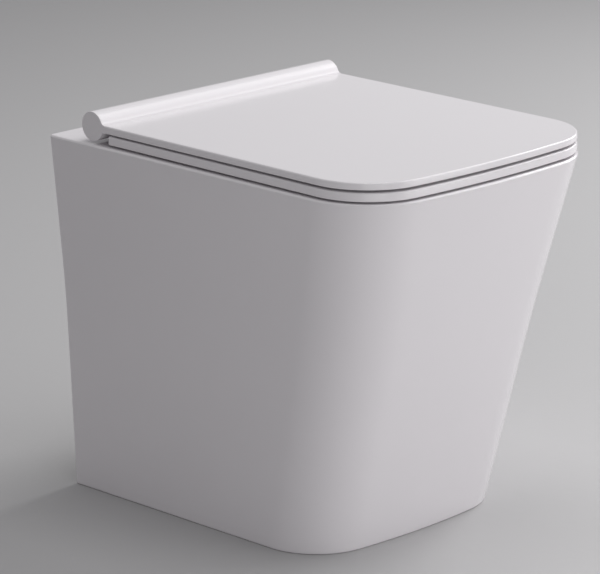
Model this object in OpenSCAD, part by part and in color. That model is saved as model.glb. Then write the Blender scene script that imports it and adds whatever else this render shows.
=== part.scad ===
// Back to wall toilet: skirted ceramic pan, slim soft-close seat and a lid with a full-width hinge roll.
// Millimetres, +Z up, the front faces -Y and the wall plane touches the back of the pan.
// Inside the modules, y runs from the wall (0) to the front (negative); place() centres the pan on Y.

/* [Pan] */
// Projection of the pan from the wall
pan_l = 480; // [470:1:500]
// Height of the rim and deck above the floor
pan_h = 405; // [400:1:420]
// Width across the rim beside the seat
rim_w = 369; // [367:1:380]
// Width of the deck at the wall
deck_w = 374; // [370:1:386]
// Projection of the skirt at the floor
base_l = 376; // [370:1:388]
// Width of the skirt at the floor, at the front
base_w = 306; // [302:1:320]
// Width of the skirt at the floor, at the wall
base_rear_w = 318; // [312:1:330]
// Height at which the sides start to flare
flare_z = 225; // [200:1:245]
// Share of the sides' flare that lies below that height
flare_share = 0.38; // [0.3:0.01:0.5]
// Corner radius of the rim's front
rim_corner_r = 84; // [74:1:95]
// Corner radius of the skirt's front at the floor
base_corner_r = 72; // [60:1:84]
// Bow of the rim's front edge
rim_bow = 13.5; // [8:0.5:18]
// Bow of the skirt's front edge at the floor
base_bow = 13.5; // [8:0.5:18]
// Round of the rim's upper edge
rim_edge_r = 5; // [3:0.5:7]
// Thickness of the skirt wall
skirt_t = 11; // [9:0.5:13]
// Thickness of the rim and deck
deck_t = 12; // [10:0.5:14]

/* [Bowl] */
// Width of the bowl's opening in the rim
bowl_w = 244; // [230:1:256]
// Distance from the wall to the opening's rear edge
bowl_rear = 128; // [126:1:136]
// Distance from the wall to the opening's front edge
bowl_front = 431; // [420:1:436]
// Depth of the straight throat under the rim
throat_h = 45; // [40:1:50]
// Bow of the opening's front edge
bowl_bow = 24; // [20:1:28]
// Corner radius of the opening's front
bowl_corner_r = 104; // [98:1:108]
// Corner radius of the opening's rear
bowl_rear_r = 55; // [48:1:60]
// Depth of the bowl's knee under the rim
knee_drop = 115; // [110:1:120]
// Length of the sloping floor between the opening's rear edge and the knee
floor_run = 112; // [106:1:116]
// How far the bowl's sides draw in from the opening to the knee
knee_in = 34; // [31:1:38]
// Ceramic thickness of the bowl
bowl_t = 10; // [9:0.5:12]
// Height of the standing water above the floor
water_z = 208; // [204:1:214]
// Depth of the water seal
seal_h = 50; // [45:1:55]

/* [Trap and connections] */
// Inner radius of the trapway
trap_r = 28; // [25:0.5:30]
// Ceramic thickness of the trapway
trap_t = 9; // [8:0.5:10]
// Bend radius of the rising bend's centre line
rise_r = 42; // [40:0.5:46]
// Bend radius of the weir bend's centre line
weir_r = 38.5; // [38:0.5:42]
// Angle at which the trapway rises
rise_a = 75; // [70:1:80]
// Distance from the wall to the foot of the rising bend
rise_y = 273; // [270:1:278]
// Height of the outlet's centre above the floor
outlet_z = 180; // [175:1:185]
// Outer radius of the outlet spigot
outlet_r = 51; // [49:0.5:52]
// Inner radius of the outlet spigot
outlet_bore_r = 42; // [39:0.5:43]
// Distance from the wall to the spigot's end
outlet_back = 60; // [50:1:65]
// Height of the flush inlet's centre above the floor
inlet_z = 335; // [330:1:340]
// Outer radius of the flush inlet horn
inlet_r = 37; // [35:0.5:39]
// Inner radius of the flush inlet horn
inlet_bore_r = 27.5; // [26:0.5:29]
// Distance from the wall to the inlet horn's end
inlet_back = 42; // [36:1:48]
// Outer radius of the flush pipe that the seal takes
flush_pipe_r = 22; // [20:0.5:24]
// Width of the slot through which the flush enters the bowl
flush_slot_w = 90; // [80:2:100]
// Height of that slot
flush_slot_h = 20; // [16:1:22]

/* [Seat and lid] */
// Width of the seat and lid
seat_w = 361; // [352:1:364]
// Distance from the wall to the front of the seat and lid
seat_front = 477.3; // [468:0.1:479]
// Bow of the front edge of the seat and lid
seat_bow = 13.3; // [8:0.1:18]
// Corner radius of the front of the seat and lid
seat_corner_r = 75; // [65:1:90]
// Distance from the wall to the seat ring's rear edge
seat_rear = 86; // [84:0.5:90]
// Thickness of the seat
seat_t = 9.6; // [8.6:0.1:10.6]
// Gap between the rim and the seat
seat_gap = 2; // [1.6:0.1:2.6]
// Width of the seat's opening
opening_w = 228; // [214:1:236]
// Bow of the opening's front edge in the seat
opening_bow = 24; // [20:1:28]
// Corner radius of the opening's front in the seat
opening_corner_r = 98; // [90:1:102]
// Corner radius of the opening's rear in the seat
opening_rear_r = 55; // [48:1:60]
// Distance from the wall to the opening's rear edge
opening_rear = 148; // [140:1:156]
// Distance from the wall to the opening's front edge
opening_front = 414; // [404:1:420]
// Gap between the seat and the lid
lid_gap = 1.6; // [1.2:0.1:2]
// Thickness of the lid plate at its edge
lid_t = 8.8; // [8:0.1:9.6]
// Depth of the recess in the lid's underside
lid_recess = 3.5; // [2:0.1:4]
// Width of the lid's full-thickness border
lid_border = 14; // [10:0.5:20]
// Round of the edges of the seat and lid
edge_r = 1.8; // [1:0.1:2.2]
// Radius of the rubber buffers
buffer_r = 9; // [7:0.5:9]
// Depth of the buffers' sockets in the seat
buffer_sink = 3; // [2:0.5:4]

/* [Hinge] */
// Distance between the two seat holes
hole_pitch = 155; // [150:1:160]
// Radius of the seat holes in the deck
seat_hole_r = 7.6; // [7.4:0.1:8.4]
// Distance from the wall to the hinge axis and the seat holes
axis_y = 61.5; // [58:0.5:65]
// Height of the hinge axis above the deck
axis_h = 18.5; // [18.2:0.1:19.5]
// Outer radius of the lid's roll
roll_r = 16; // [15.8:0.1:16.4]
// Wall of the roll over the hinges
roll_t = 3.2; // [2.8:0.1:3.2]
// Radius of the concave blend from the roll to the lid
roll_blend_r = 6; // [4:0.5:8]
// Opening angle of the lid and seat
open_a = 95; // [90:1:98]
// Radius of the hinge shafts
shaft_r = 4; // [3.5:0.1:4.3]
// Depth of the flat along each shaft
shaft_flat = 1.2; // [0.8:0.1:1.4]
// Outer radius of the dampers and pivot bushes
damper_r = 8.5; // [8.2:0.1:8.8]
// Wall of the damper housings
damper_wall = 1.3; // [1.1:0.1:1.5]
// Length of the dampers and pivot bushes
damper_l = 40; // [34:1:44]
// Radius of the seat's hinge lugs
lug_r = 12; // [11.6:0.1:12.2]
// Width of the seat's hinge lugs
lug_w = 44; // [44:1:52]
// Width of the hinge posts
post_w = 19; // [18:0.5:20]
// Depth of the hinge posts' feet, front to back
foot_d = 16; // [15.4:0.2:16.4]
// Thickness of the hinge base plates
base_plate_t = 2; // [1.6:0.1:2]
// Travel of the release buttons
button_travel = 5; // [4.6:0.1:5]

/* [Fixings] */
// Radius of the stud bolts' shank
bolt_r = 3; // [2.5:0.1:3.2]
// Length of the stud bolts below the deck's surface
bolt_l = 46; // [44:1:52]
// Length of the expanding plugs
plug_l = 28; // [24:1:28]
// Radius of the clamp screws
clamp_r = 4; // [3.5:0.1:4.2]
// Height of the clamp ledges' upper face above the floor
ledge_z = 134; // [128:1:138]
// Thickness of the clamp ledges
ledge_t = 12; // [10:0.5:14]
// Plate thickness of the floor brackets
bracket_t = 4; // [3:0.5:5]
// Radius of the floor screw holes
floor_hole_r = 4.5; // [4:0.25:5.5]
// Distance between the left and right floor screw holes
floor_hole_w = 250; // [244:1:254]
// Distance between the front and rear floor screw holes
floor_hole_l = 36; // [32:1:40]
// Radius of the steel clamp washers
washer_r = 12; // [10:0.5:12.5]
// Radius of the cushion washers under them
cushion_r = 13; // [11:0.5:14]
// Length of the flush seal inside the horn
seal_l = 28; // [22:1:32]

/* [Hidden] */
$fn = 64;
eps = 0.01;
// Clearances: running fit, light press, seated pieces of one body, pieces that pass each other
run_c = 0.05;
press_c = 0.02;
slide_c = 0.2;
pass_c = 0.4;
rest_c = 0.2;
// How far a cut runs past the face that it opens
over_c = 1;

// Heights
seat_z = pan_h + seat_gap;
seat_top = seat_z + seat_t;
lid_z = seat_top + lid_gap;
lid_top = lid_z + lid_t;
axis_z = pan_h + axis_h;
// Hinge stations along X, as distances from the middle plane
hole_x = hole_pitch / 2;
post_in = hole_x - post_w / 2;
post_out = hole_x + post_w / 2;
lug_in = post_out + pass_c;
lug_out = lug_in + lug_w;
lid_in = post_in - pass_c;
lid_out = lug_out + pass_c;
// The roll's slot runs from the lid's underside past the foot, and its end stops on the foot when open
shell_r = roll_r - roll_t;
stop_c = 0.3;
slot_a = open_a + asin((foot_d / 2 + stop_c) / shell_r);
// Stud and latch heights above the deck
flange_t = 2;
flange_r = 6;
stud_r = 4;
neck_in = 1.25;
neck_r = stud_r - neck_in;
neck_z = pan_h + base_plate_t + flange_t;
neck_h = 2.3;
stud_h = 2.7;
latch_t = 1.5;
latch_z = neck_z + (neck_h - latch_t) / 2;
post_cheek = 3;
latch_w = post_w - 2 * post_cheek;
// Trapway: the rising bend, the riser, the weir bend and the drop into the outlet
trap_or = trap_r + trap_t;
dip_z = water_z - seal_h;
sump_z = dip_z - 2 * trap_r;
sump_mid = dip_z - trap_r;
bend_in = 1;
lap = 1;
crook_r = 15;
crook_w = 52;
peak_z = water_z + trap_r - bend_in;
rise_cz = sump_mid + rise_r;
rise_p = [-rise_y + rise_r * sin(rise_a), rise_cz - rise_r * cos(rise_a)];
rise_len = (peak_z - weir_r + weir_r * cos(rise_a) - rise_p[1]) / sin(rise_a);
weir_p = [rise_p[0] + rise_len * cos(rise_a), rise_p[1] + rise_len * sin(rise_a)];
weir_c = [weir_p[0] + weir_r * sin(rise_a), weir_p[1] - weir_r * cos(rise_a)];
drop_y = weir_c[0] + weir_r;
// Clamp ledges, cross web and brackets; the web covers the weir bend and sinks into the skirt by web_sink
web_front = 12;
web_y_abs = -drop_y - web_front;
web_sink = 2;
web_past = 28;
web_back = floor(-drop_y - web_past);
web_t = web_y_abs - web_back;
web_hw = base_rear_w / 2 + web_sink;
web_top = 260;
web_foot = min(ledge_z - ledge_t, outlet_z - outlet_r - web_sink);
ledge_hw = 32;
ledge_gap = 9;
slot_c = 1;
slot_r = clamp_r + slot_c;
cushion_t = 2;
washer_t = 2.5;
bracket_drop = 6;
bracket_top = ledge_z - ledge_t - bracket_drop;

module place() {
  translate([0, pan_l / 2, 0]) children();
}

module both_sides() {
  children();
  mirror([1, 0, 0]) children();
}

// A cylinder along X from x0 to x1 on the hinge axis
module axis_cyl(x0, x1, r) {
  translate([x0, -axis_y, axis_z]) rotate([0, 90, 0]) cylinder(r = r, h = x1 - x0);
}

// Right half of a D-shaped outline: straight or tapering side, round corner, bowed front
function half_outline(rear_hw, front_hw, front, bow, corner, rear, rear_r) =
  let (
    rf = (front_hw * front_hw + bow * bow) / (2 * bow),
    cy = -front + rf,
    dx = front_hw - corner,
    yc = cy - sqrt(pow(rf - corner, 2) - dx * dx),
    a1 = atan2(yc - cy, dx)
  )
  concat(
    [for (i = [0 : 3]) let (a = 90 - 30 * i)
      [rear_hw - rear_r + rear_r * cos(a), -rear - rear_r + rear_r * sin(a)]],
    [for (i = [0 : 10]) let (a = a1 * i / 10) [dx + corner * cos(a), yc + corner * sin(a)]],
    [for (i = [1 : 5]) let (a = a1 + (-90 - a1) * i / 5) [rf * cos(a), cy + rf * sin(a)]]
  );

// The whole outline, mirrored about the middle plane
function outline(rear_hw, front_hw, front, bow, corner, rear, rear_r) =
  let (
    half = half_outline(rear_hw, front_hw, front, bow, corner, rear, rear_r),
    n = len(half)
  )
  concat(half, [for (i = [n - 2 : -1 : 0]) [-half[i][0], half[i][1]]]);

// Outline of the pan's body at three levels (0 floor, 1 flare height, 2 rim), drawn in by d
function level_mix(a, b, k, share) = k == 0 ? a : k == 1 ? a + (b - a) * share : b;
function pan_outline(k, d, rear = 0, rear_r = 4) =
  let (share_z = flare_z / pan_h)
  outline(
    level_mix(base_rear_w, deck_w, k, flare_share) / 2 - d,
    level_mix(base_w, rim_w, k, flare_share) / 2 - d,
    level_mix(base_l, pan_l, k, share_z) - d,
    level_mix(base_bow, rim_bow, k, share_z),
    level_mix(base_corner_r, rim_corner_r, k, share_z) - d,
    rear,
    rear_r
  );

// Thin slices that hull() joins: slab rises from z, slab_under ends at z
slab_t = 0.2;
module slab(z, points) {
  translate([0, 0, z]) linear_extrude(height = slab_t) polygon(points);
}

module slab_under(z, points) {
  slab(z - slab_t, points);
}

module round_slab(z, y, r) {
  translate([0, y, z]) cylinder(r = r, h = slab_t, $fn = 32);
}

// Outer form of the pan: plain skirt below, flared upper body with a rounded rim edge
module pan_form() {
  hull() {
    slab(0, pan_outline(0, 0));
    slab_under(flare_z, pan_outline(1, 0));
  }
  hull() {
    slab_under(flare_z, pan_outline(1, 0));
    for (a = [0, 30, 60, 90])
      slab_under(pan_h - rim_edge_r * (1 - sin(a)), pan_outline(2, rim_edge_r * (1 - cos(a))));
  }
}

// Space inside the skirt, open at the floor and at the wall
back_over = 10;
back_r = 1;
flare_t = 5;
module skirt_space() {
  hull() {
    slab(-over_c, pan_outline(0, skirt_t, -back_over, back_r));
    slab_under(pan_h - deck_t, pan_outline(2, skirt_t + flare_t, -back_over, back_r));
  }
}

// Bowl levels: the opening, the throat, the knee and the round pool, dip and sump under it
throat_in = 2;
knee_z = pan_h - knee_drop;
knee_y = bowl_rear + floor_run;
knee_front_in = 27;
knee_bow = 20;
knee_corner_r = 80;
knee_corner_in = 2;
knee_rear_r = 60;
pool_r = 52;
dip_r = 36;
sump_r = 27;
sump_foot_r = 14;
sump_foot_h = 12;
sump_wall = 3;
water_wall_in = 5;
water_wall_y = rise_y + water_wall_in;
pool_in = 2;
sump_in = 16;
pool_y = -water_wall_y - pool_r - pool_in;
dip_y = -water_wall_y - dip_r - pool_in;
sump_y = -rise_y - sump_in;
shelf_sink = 4;
shelf_z = peak_z + trap_or - shelf_sink;

// Outline of the bowl's opening, grown by d
function rim_opening(d) = outline(
  bowl_w / 2 + d, bowl_w / 2 + d, bowl_front + d, bowl_bow, bowl_corner_r + d, bowl_rear - d,
  bowl_rear_r + max(d, 0)
);

// Outline at the knee, grown by d, with its rear edge at the given distance from the wall
function knee_outline(d, rear) = outline(
  bowl_w / 2 - knee_in + d, bowl_w / 2 - knee_in + d, bowl_front - knee_front_in + d, knee_bow,
  knee_corner_r + max(d - knee_corner_in, 0), rear, knee_rear_r
);

// Inside of the bowl: the throat and the sloping floor, then the sump
module bowl_space() {
  hull() {
    slab(pan_h + over_c, rim_opening(0));
    slab(pan_h - throat_h, rim_opening(-throat_in));
    slab(knee_z, knee_outline(0, knee_y));
  }
  hull() {
    slab(knee_z, knee_outline(0, knee_y));
    round_slab(water_z, pool_y, pool_r);
    round_slab(dip_z, dip_y, dip_r);
    round_slab(sump_z + sump_foot_h, sump_y, sump_r);
    round_slab(sump_z, sump_y, sump_foot_r);
  }
}

// Outside of the bowl, cut away under the shelf behind it
knee_wall = 12;
shelf_run = 40;
module bowl_body() {
  difference() {
    hull() {
      slab(pan_h - deck_t, rim_opening(bowl_t));
      slab(pan_h - throat_h, rim_opening(bowl_t));
      slab(knee_z, knee_outline(knee_wall, bowl_rear + shelf_run));
      round_slab(water_z, pool_y, pool_r + bowl_t);
      round_slab(dip_z, dip_y, dip_r + bowl_t);
      round_slab(sump_z - bowl_t, sump_y, sump_r + sump_wall);
    }
    translate([-rim_w / 2, -knee_y + bowl_t, 0]) cube([rim_w, pan_l, shelf_z]);
  }
}

// Part of a ring in the YZ plane, from angle a0 to a1, tube radius r
module bend(centre, ring_r, r, a0, a1) {
  translate([0, centre[0], centre[1]]) rotate([90, 0, 90]) rotate([0, 0, a0])
    rotate_extrude(angle = a1 - a0) translate([ring_r, 0]) circle(r = r);
}

// A tube along Y at height z, from y0 to y1
module y_cyl(y0, y1, z, r) {
  translate([0, y1, z]) rotate([90, 0, 0]) cylinder(r = r, h = y1 - y0);
}

// The trapway with tube radius r, and the outlet's chamber of radius rc around its foot.
// The straight runs reach into the bends by lap, and the bends are slimmer by bend_in.
trap_in = 20;
chamber_in = 12;
module trapway(r, rc) {
  y_cyl(-rise_y - trap_in, -rise_y + lap, sump_mid, r);
  bend([-rise_y, rise_cz], rise_r, r - bend_in, -90, rise_a - 90);
  translate([0, rise_p[0], rise_p[1]]) rotate([rise_a - 90, 0, 0])
    translate([0, 0, -lap]) cylinder(r = r, h = rise_len + 2 * lap);
  bend(weir_c, weir_r, r - bend_in, 0, 90 + rise_a);
  translate([0, drop_y, outlet_z]) cylinder(r = r, h = weir_c[1] - outlet_z + lap);
  y_cyl(drop_y - rc + chamber_in, -web_y_abs + lap, outlet_z, rc);
}

// Ceramic that fills the crook of a bend
module crook(centre) {
  translate([-crook_w / 2, centre[0], centre[1]]) rotate([0, 90, 0]) cylinder(r = crook_r, h = crook_w);
}

// Passage of the flush water: the horn's bore, a neck through the rear wall and a wide slot into the bowl
horn_in = 60;
horn_stop = 8;
flush_up = 1;
flush_neck_in = 4;
flush_neck_over = 8;
flush_neck_w = 2 * (inlet_bore_r - flush_neck_in);
flush_neck_l = 36;
flush_slot_in = 70;
flush_slot_l = 56;
module flush_passage() {
  y_cyl(-bowl_rear + horn_stop, -inlet_back + over_c, inlet_z, inlet_bore_r);
  translate([-flush_neck_w / 2, -bowl_rear + horn_stop + flush_neck_over - flush_neck_l, inlet_z + flush_up])
    cube([flush_neck_w, flush_neck_l, flush_slot_h]);
  translate([-flush_slot_w / 2, -bowl_rear - flush_slot_in, inlet_z + flush_up])
    cube([flush_slot_w, flush_slot_l, flush_slot_h]);
}

// Ledge that the clamp screw presses on, one side, with its slot open to the wall
module clamp_ledge() {
  difference() {
    translate([outlet_r + ledge_gap, -web_y_abs, ledge_z - ledge_t])
      cube([web_hw - outlet_r - ledge_gap, web_y_abs - axis_y + ledge_hw, ledge_t]);
    translate([hole_x, -axis_y, ledge_z - ledge_t - over_c]) cylinder(r = slot_r, h = ledge_t + 2 * over_c);
    translate([hole_x - slot_r, -axis_y, ledge_z - ledge_t - over_c])
      cube([2 * slot_r, axis_y, ledge_t + 2 * over_c]);
  }
}

outlet_step = 2;
module pan() {
  color("white") place() difference() {
    union() {
      difference() {
        pan_form();
        skirt_space();
      }
      bowl_body();
      trapway(trap_or, outlet_r - outlet_step);
      crook([-rise_y, rise_cz]);
      crook(weir_c);
      y_cyl(-web_y_abs, -outlet_back, outlet_z, outlet_r);
      y_cyl(-bowl_rear - horn_in, -inlet_back, inlet_z, inlet_r);
      both_sides() clamp_ledge();
      translate([-web_hw, -web_y_abs, web_foot]) cube([2 * web_hw, web_t, web_top - web_foot]);
    }
    bowl_space();
    trapway(trap_r, outlet_bore_r - outlet_step);
    y_cyl(-web_y_abs, -outlet_back + over_c, outlet_z, outlet_bore_r);
    flush_passage();
    both_sides() translate([hole_x, -axis_y, pan_h - deck_t - over_c])
      cylinder(r = seat_hole_r, h = deck_t + 2 * over_c);
  }
}

// D-shaped plate with rounded edges from z0 to z1
module soft_plate(z0, z1, rear) {
  hull() {
    translate([0, 0, z0 + edge_r]) linear_extrude(height = z1 - z0 - 2 * edge_r) polygon(seat_outline(0, rear));
    for (a = [45, 90]) {
      slab(z0 + edge_r * (1 - sin(a)), seat_outline(edge_r * (1 - cos(a)), rear));
      slab_under(z1 - edge_r * (1 - sin(a)), seat_outline(edge_r * (1 - cos(a)), rear));
    }
  }
}

seat_rear_r = 3;
function seat_outline(d, rear) = outline(
  seat_w / 2 - d, seat_w / 2 - d, seat_front - d, seat_bow, seat_corner_r - d, rear, seat_rear_r
);

// Groove along the top of a hinge bore that stops a bush or housing turning in it
key_w = 3;
key_h = 1.2;
module key_rib(x0, x1, c) {
  translate([x0, -axis_y - key_w / 2 - c, axis_z]) cube([x1 - x0, key_w + 2 * c, damper_r + key_h + c]);
}

// Buffers stand in from the seat's sides and from its rear or front edge
seat_buffer_in = [[32.5, seat_rear + 32], [62.5, seat_front - 69.3]];
lid_buffer_in = [[30.5, seat_rear + 64], [48.5, seat_front - 82.3]];
function buffer_at(list) = [for (sx = [-1, 1]) for (b = list) [sx * (seat_w / 2 - b[0]), -b[1]]];
seat_buffer_at = buffer_at(seat_buffer_in);
lid_buffer_at = buffer_at(lid_buffer_in);
// Arm that joins each lug to the seat's rear edge
arm_in = 8;
arm_over = 3;
arm_lift = 0.4;
arm_drop = 0.6;
bush_floor = 3;

module seat() {
  color("white") place() difference() {
    union() {
      soft_plate(seat_z, seat_top, seat_rear);
      both_sides() {
        axis_cyl(lug_in, lug_out, lug_r);
        translate([lug_in, -seat_rear - arm_in, seat_z + arm_lift])
          cube([lug_w, seat_rear + arm_in - axis_y + arm_over, seat_t - arm_lift - arm_drop]);
      }
    }
    translate([0, 0, seat_z - over_c]) linear_extrude(height = seat_t + 2 * over_c) polygon(outline(
      opening_w / 2, opening_w / 2, opening_front, opening_bow, opening_corner_r, opening_rear, opening_rear_r
    ));
    both_sides() {
      axis_cyl(lug_in - over_c, lug_out - bush_floor, damper_r);
      key_rib(lug_in - over_c, lug_out - bush_floor, press_c);
    }
    for (p = seat_buffer_at)
      translate([p[0], p[1], seat_z - over_c]) cylinder(r = buffer_r + press_c, h = buffer_sink + over_c);
  }
}

// Roll section: the round bar with a concave blend into the lid plate, drawn in the YZ plane about the axis
blend_start = 0.98;
module roll_section() {
  rise = lid_top - axis_z;
  span = roll_r + roll_blend_r;
  a = asin((rise + roll_blend_r) / span);
  blend_y = -span * cos(a);
  circle(r = roll_r, $fn = 96);
  polygon(concat(
    [[blend_y, lid_z - axis_z], [0, lid_z - axis_z], [0, 0]],
    [[-blend_start * roll_r * cos(a), blend_start * roll_r * sin(a)]],
    [for (i = [1 : 6]) let (t = -a + (a - 90) * i / 6)
      [blend_y + roll_blend_r * cos(t), rise + roll_blend_r + roll_blend_r * sin(t)]]
  ));
}

// Cut that clears the posts and lugs as the lid turns, in the YZ plane about the axis
slot_over = 2;
slot_lip = 4;
module roll_slot() {
  far = roll_r + slot_over;
  under = axis_z - lid_z;
  circle(r = shell_r, $fn = 96);
  polygon(concat(
    [[0, 0]],
    [for (i = [0 : 12]) let (a = -90 + slot_a * i / 12) [(far + eps) * cos(a), (far + eps) * sin(a)]]
  ));
  translate([-seat_rear + axis_y + slot_lip, -far]) square([seat_rear - axis_y - slot_lip, far - under]);
}

// Extrudes a section of the YZ plane along X about the hinge axis
module along_axis(x0, x1) {
  translate([x0, -axis_y, axis_z]) rotate([90, 0, 90]) linear_extrude(height = x1 - x0) children();
}

recess_rear = 12;
recess_rear_r = 8;
cup_gap = 4;
module lid() {
  color("white") place() difference() {
    union() {
      soft_plate(lid_z, lid_top, axis_y);
      along_axis(-seat_w / 2, seat_w / 2) roll_section();
    }
    translate([0, 0, lid_z - over_c]) linear_extrude(height = lid_recess + over_c) polygon(outline(
      seat_w / 2 - lid_border, seat_w / 2 - lid_border, seat_front - lid_border, seat_bow,
      seat_corner_r - lid_border, seat_rear + recess_rear, recess_rear_r
    ));
    both_sides() {
      along_axis(lid_in, lid_out) roll_slot();
      axis_cyl(lid_in - damper_l - cup_gap, lid_in + over_c, damper_r);
      key_rib(lid_in - damper_l - cup_gap, lid_in + over_c, press_c);
    }
  }
}

// A shaft on one side: full round at its far end, flat from its near end through the post
shaft_back = 4;
module hinge_shaft(inner_flat) {
  x0 = lid_in - damper_l + shaft_back;
  x1 = lug_in + damper_l - shaft_back;
  color("silver") place() difference() {
    axis_cyl(x0, x1, shaft_r);
    translate([inner_flat ? x0 - over_c : post_in, -axis_y - shaft_r, axis_z + shaft_r - shaft_flat])
      cube([(inner_flat ? post_out - x0 : x1 - post_in) + over_c, 2 * shaft_r, shaft_flat + over_c]);
  }
}

// Bore for the flatted part of a shaft
module flat_bore(x0, x1, c) {
  difference() {
    axis_cyl(x0, x1, shaft_r + c);
    translate([x0 - over_c, -axis_y - shaft_r - over_c, axis_z + shaft_r - shaft_flat + c])
      cube([x1 - x0 + 2 * over_c, 2 * (shaft_r + over_c), shaft_flat + over_c]);
  }
}

// Keyhole latch plate outline about the stud's axis, +y towards the finger pad
pad_gap = button_travel + stop_c;
pad_t = 3;
pad_side = 1;
pad_lift = 0.6;
tongue_in = 0.5;
key_c = 0.5;
module latch_outline() {
  difference() {
    translate([-latch_w / 2, -foot_d / 2 + tongue_in]) square([latch_w, foot_d + pad_gap]);
    circle(r = neck_r + slide_c);
    translate([-neck_r - slide_c, 0]) square([2 * (neck_r + slide_c), button_travel]);
    translate([0, button_travel]) circle(r = stud_r + key_c);
  }
}

module release_button() {
  pad_z = neck_z - flange_t + pad_lift;
  color("lightgray") place() translate([hole_x, -axis_y, 0]) {
    translate([0, 0, latch_z]) linear_extrude(height = latch_t) latch_outline();
    translate([-latch_w / 2 - pad_side, foot_d / 2 + pad_gap, pad_z])
      cube([latch_w + 2 * pad_side, pad_t, latch_z + latch_t - pad_z]);
  }
}

post_c = 0.8;
socket_c = 0.3;
module hinge_post() {
  post_r = shell_r - post_c;
  color("gainsboro") place() difference() {
    union() {
      axis_cyl(post_in, post_out, post_r);
      translate([post_in, -axis_y - foot_d / 2, pan_h + base_plate_t])
        cube([post_w, foot_d, axis_h - base_plate_t]);
    }
    flat_bore(post_in - over_c, post_out + over_c, run_c);
    translate([hole_x, -axis_y, pan_h]) {
      cylinder(r = flange_r + socket_c, h = base_plate_t + flange_t + slide_c);
      cylinder(r = stud_r + socket_c, h = base_plate_t + flange_t + neck_h + stud_h + 2 * socket_c);
    }
    translate([hole_x - latch_w / 2 - slide_c, -axis_y - foot_d, latch_z - slide_c])
      cube([latch_w + 2 * slide_c, 2 * foot_d, latch_t + 2 * slide_c]);
  }
}

// Damper housing: a cup with a bearing in its closed end; x0 is the closed end, dir the way it opens
cup_floor = 4;
bearing_skin = 1.5;
cap_t = 4;
module damper_housing(x0, dir) {
  x1 = x0 + dir * damper_l;
  lo = min(x0, x1);
  cup_lo = dir > 0 ? x0 + cup_floor : x1 - over_c;
  color("dimgray") place() difference() {
    union() {
      axis_cyl(lo, lo + damper_l, damper_r - press_c);
      key_rib(lo, lo + damper_l, 0);
    }
    axis_cyl(cup_lo, cup_lo + damper_l - cup_floor + over_c, damper_r - damper_wall);
    axis_cyl(
      dir > 0 ? x0 + bearing_skin : x0 - cup_floor - over_c,
      dir > 0 ? x0 + cup_floor + over_c : x0 - bearing_skin,
      shaft_r + run_c
    );
  }
}

module damper_cap(x0, dir) {
  lo = dir > 0 ? x0 + damper_l - cap_t : x0 - damper_l;
  color("gray") place() difference() {
    axis_cyl(lo, lo + cap_t, damper_r - damper_wall - press_c);
    axis_cyl(lo - over_c, lo + cap_t + over_c, shaft_r + run_c);
  }
}

// Damper rotor: a round body keyed on the shaft's flat, with two oil pockets
rotor_end = 1;
rotor_c = 0.3;
pocket_end = 3;
pocket_w = 3;
pocket_floor = 1;
module damper_rotor(x0, dir) {
  end_l = cup_floor + rotor_end;
  lo = dir > 0 ? x0 + end_l : x0 - damper_l + end_l;
  rotor_l = damper_l - 2 * end_l;
  rotor_r = damper_r - damper_wall - rotor_c;
  color("ivory") place() difference() {
    axis_cyl(lo, lo + rotor_l, rotor_r);
    flat_bore(lo - over_c, lo + rotor_l + over_c, run_c);
    for (a = [45, 225]) translate([lo + pocket_end, -axis_y, axis_z]) rotate([a, 0, 0])
      translate([0, shaft_r + pocket_floor, -pocket_w / 2]) cube([rotor_l - 2 * pocket_end, rotor_r, pocket_w]);
  }
}

module pivot_bush(x0) {
  color("dimgray") place() difference() {
    union() {
      axis_cyl(x0, x0 + damper_l, damper_r - press_c);
      key_rib(x0, x0 + damper_l, 0);
    }
    axis_cyl(x0 - over_c, x0 + damper_l + over_c, shaft_r + run_c);
  }
}

lid_cup_x = lid_in - pass_c - damper_l;
lug_cup_x = lug_in + pass_c + damper_l;

module left_hinge_post() mirror([1, 0, 0]) hinge_post();
module right_hinge_post() hinge_post();
module left_hinge_shaft() mirror([1, 0, 0]) hinge_shaft(true);
module right_hinge_shaft() hinge_shaft(false);
module left_release_button() mirror([1, 0, 0]) release_button();
module right_release_button() release_button();
module lid_damper_housing() mirror([1, 0, 0]) damper_housing(lid_cup_x, 1);
module lid_damper_cap() mirror([1, 0, 0]) damper_cap(lid_cup_x, 1);
module lid_damper_rotor() mirror([1, 0, 0]) damper_rotor(lid_cup_x, 1);
module seat_damper_housing() damper_housing(lug_cup_x, -1);
module seat_damper_cap() damper_cap(lug_cup_x, -1);
module seat_damper_rotor() damper_rotor(lug_cup_x, -1);
module lid_pivot_bush() pivot_bush(lid_cup_x);
module seat_pivot_bush() mirror([1, 0, 0]) pivot_bush(lug_cup_x - damper_l);

base_plate_hl = 15;
module hinge_base_plates() {
  color("silver") place() both_sides() translate([hole_x, -axis_y, pan_h]) difference() {
    translate([-post_w / 2, -base_plate_hl, 0]) cube([post_w, 2 * base_plate_hl, base_plate_t]);
    translate([0, 0, -over_c]) cylinder(r = bolt_r + slide_c, h = base_plate_t + 2 * over_c);
  }
}

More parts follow.
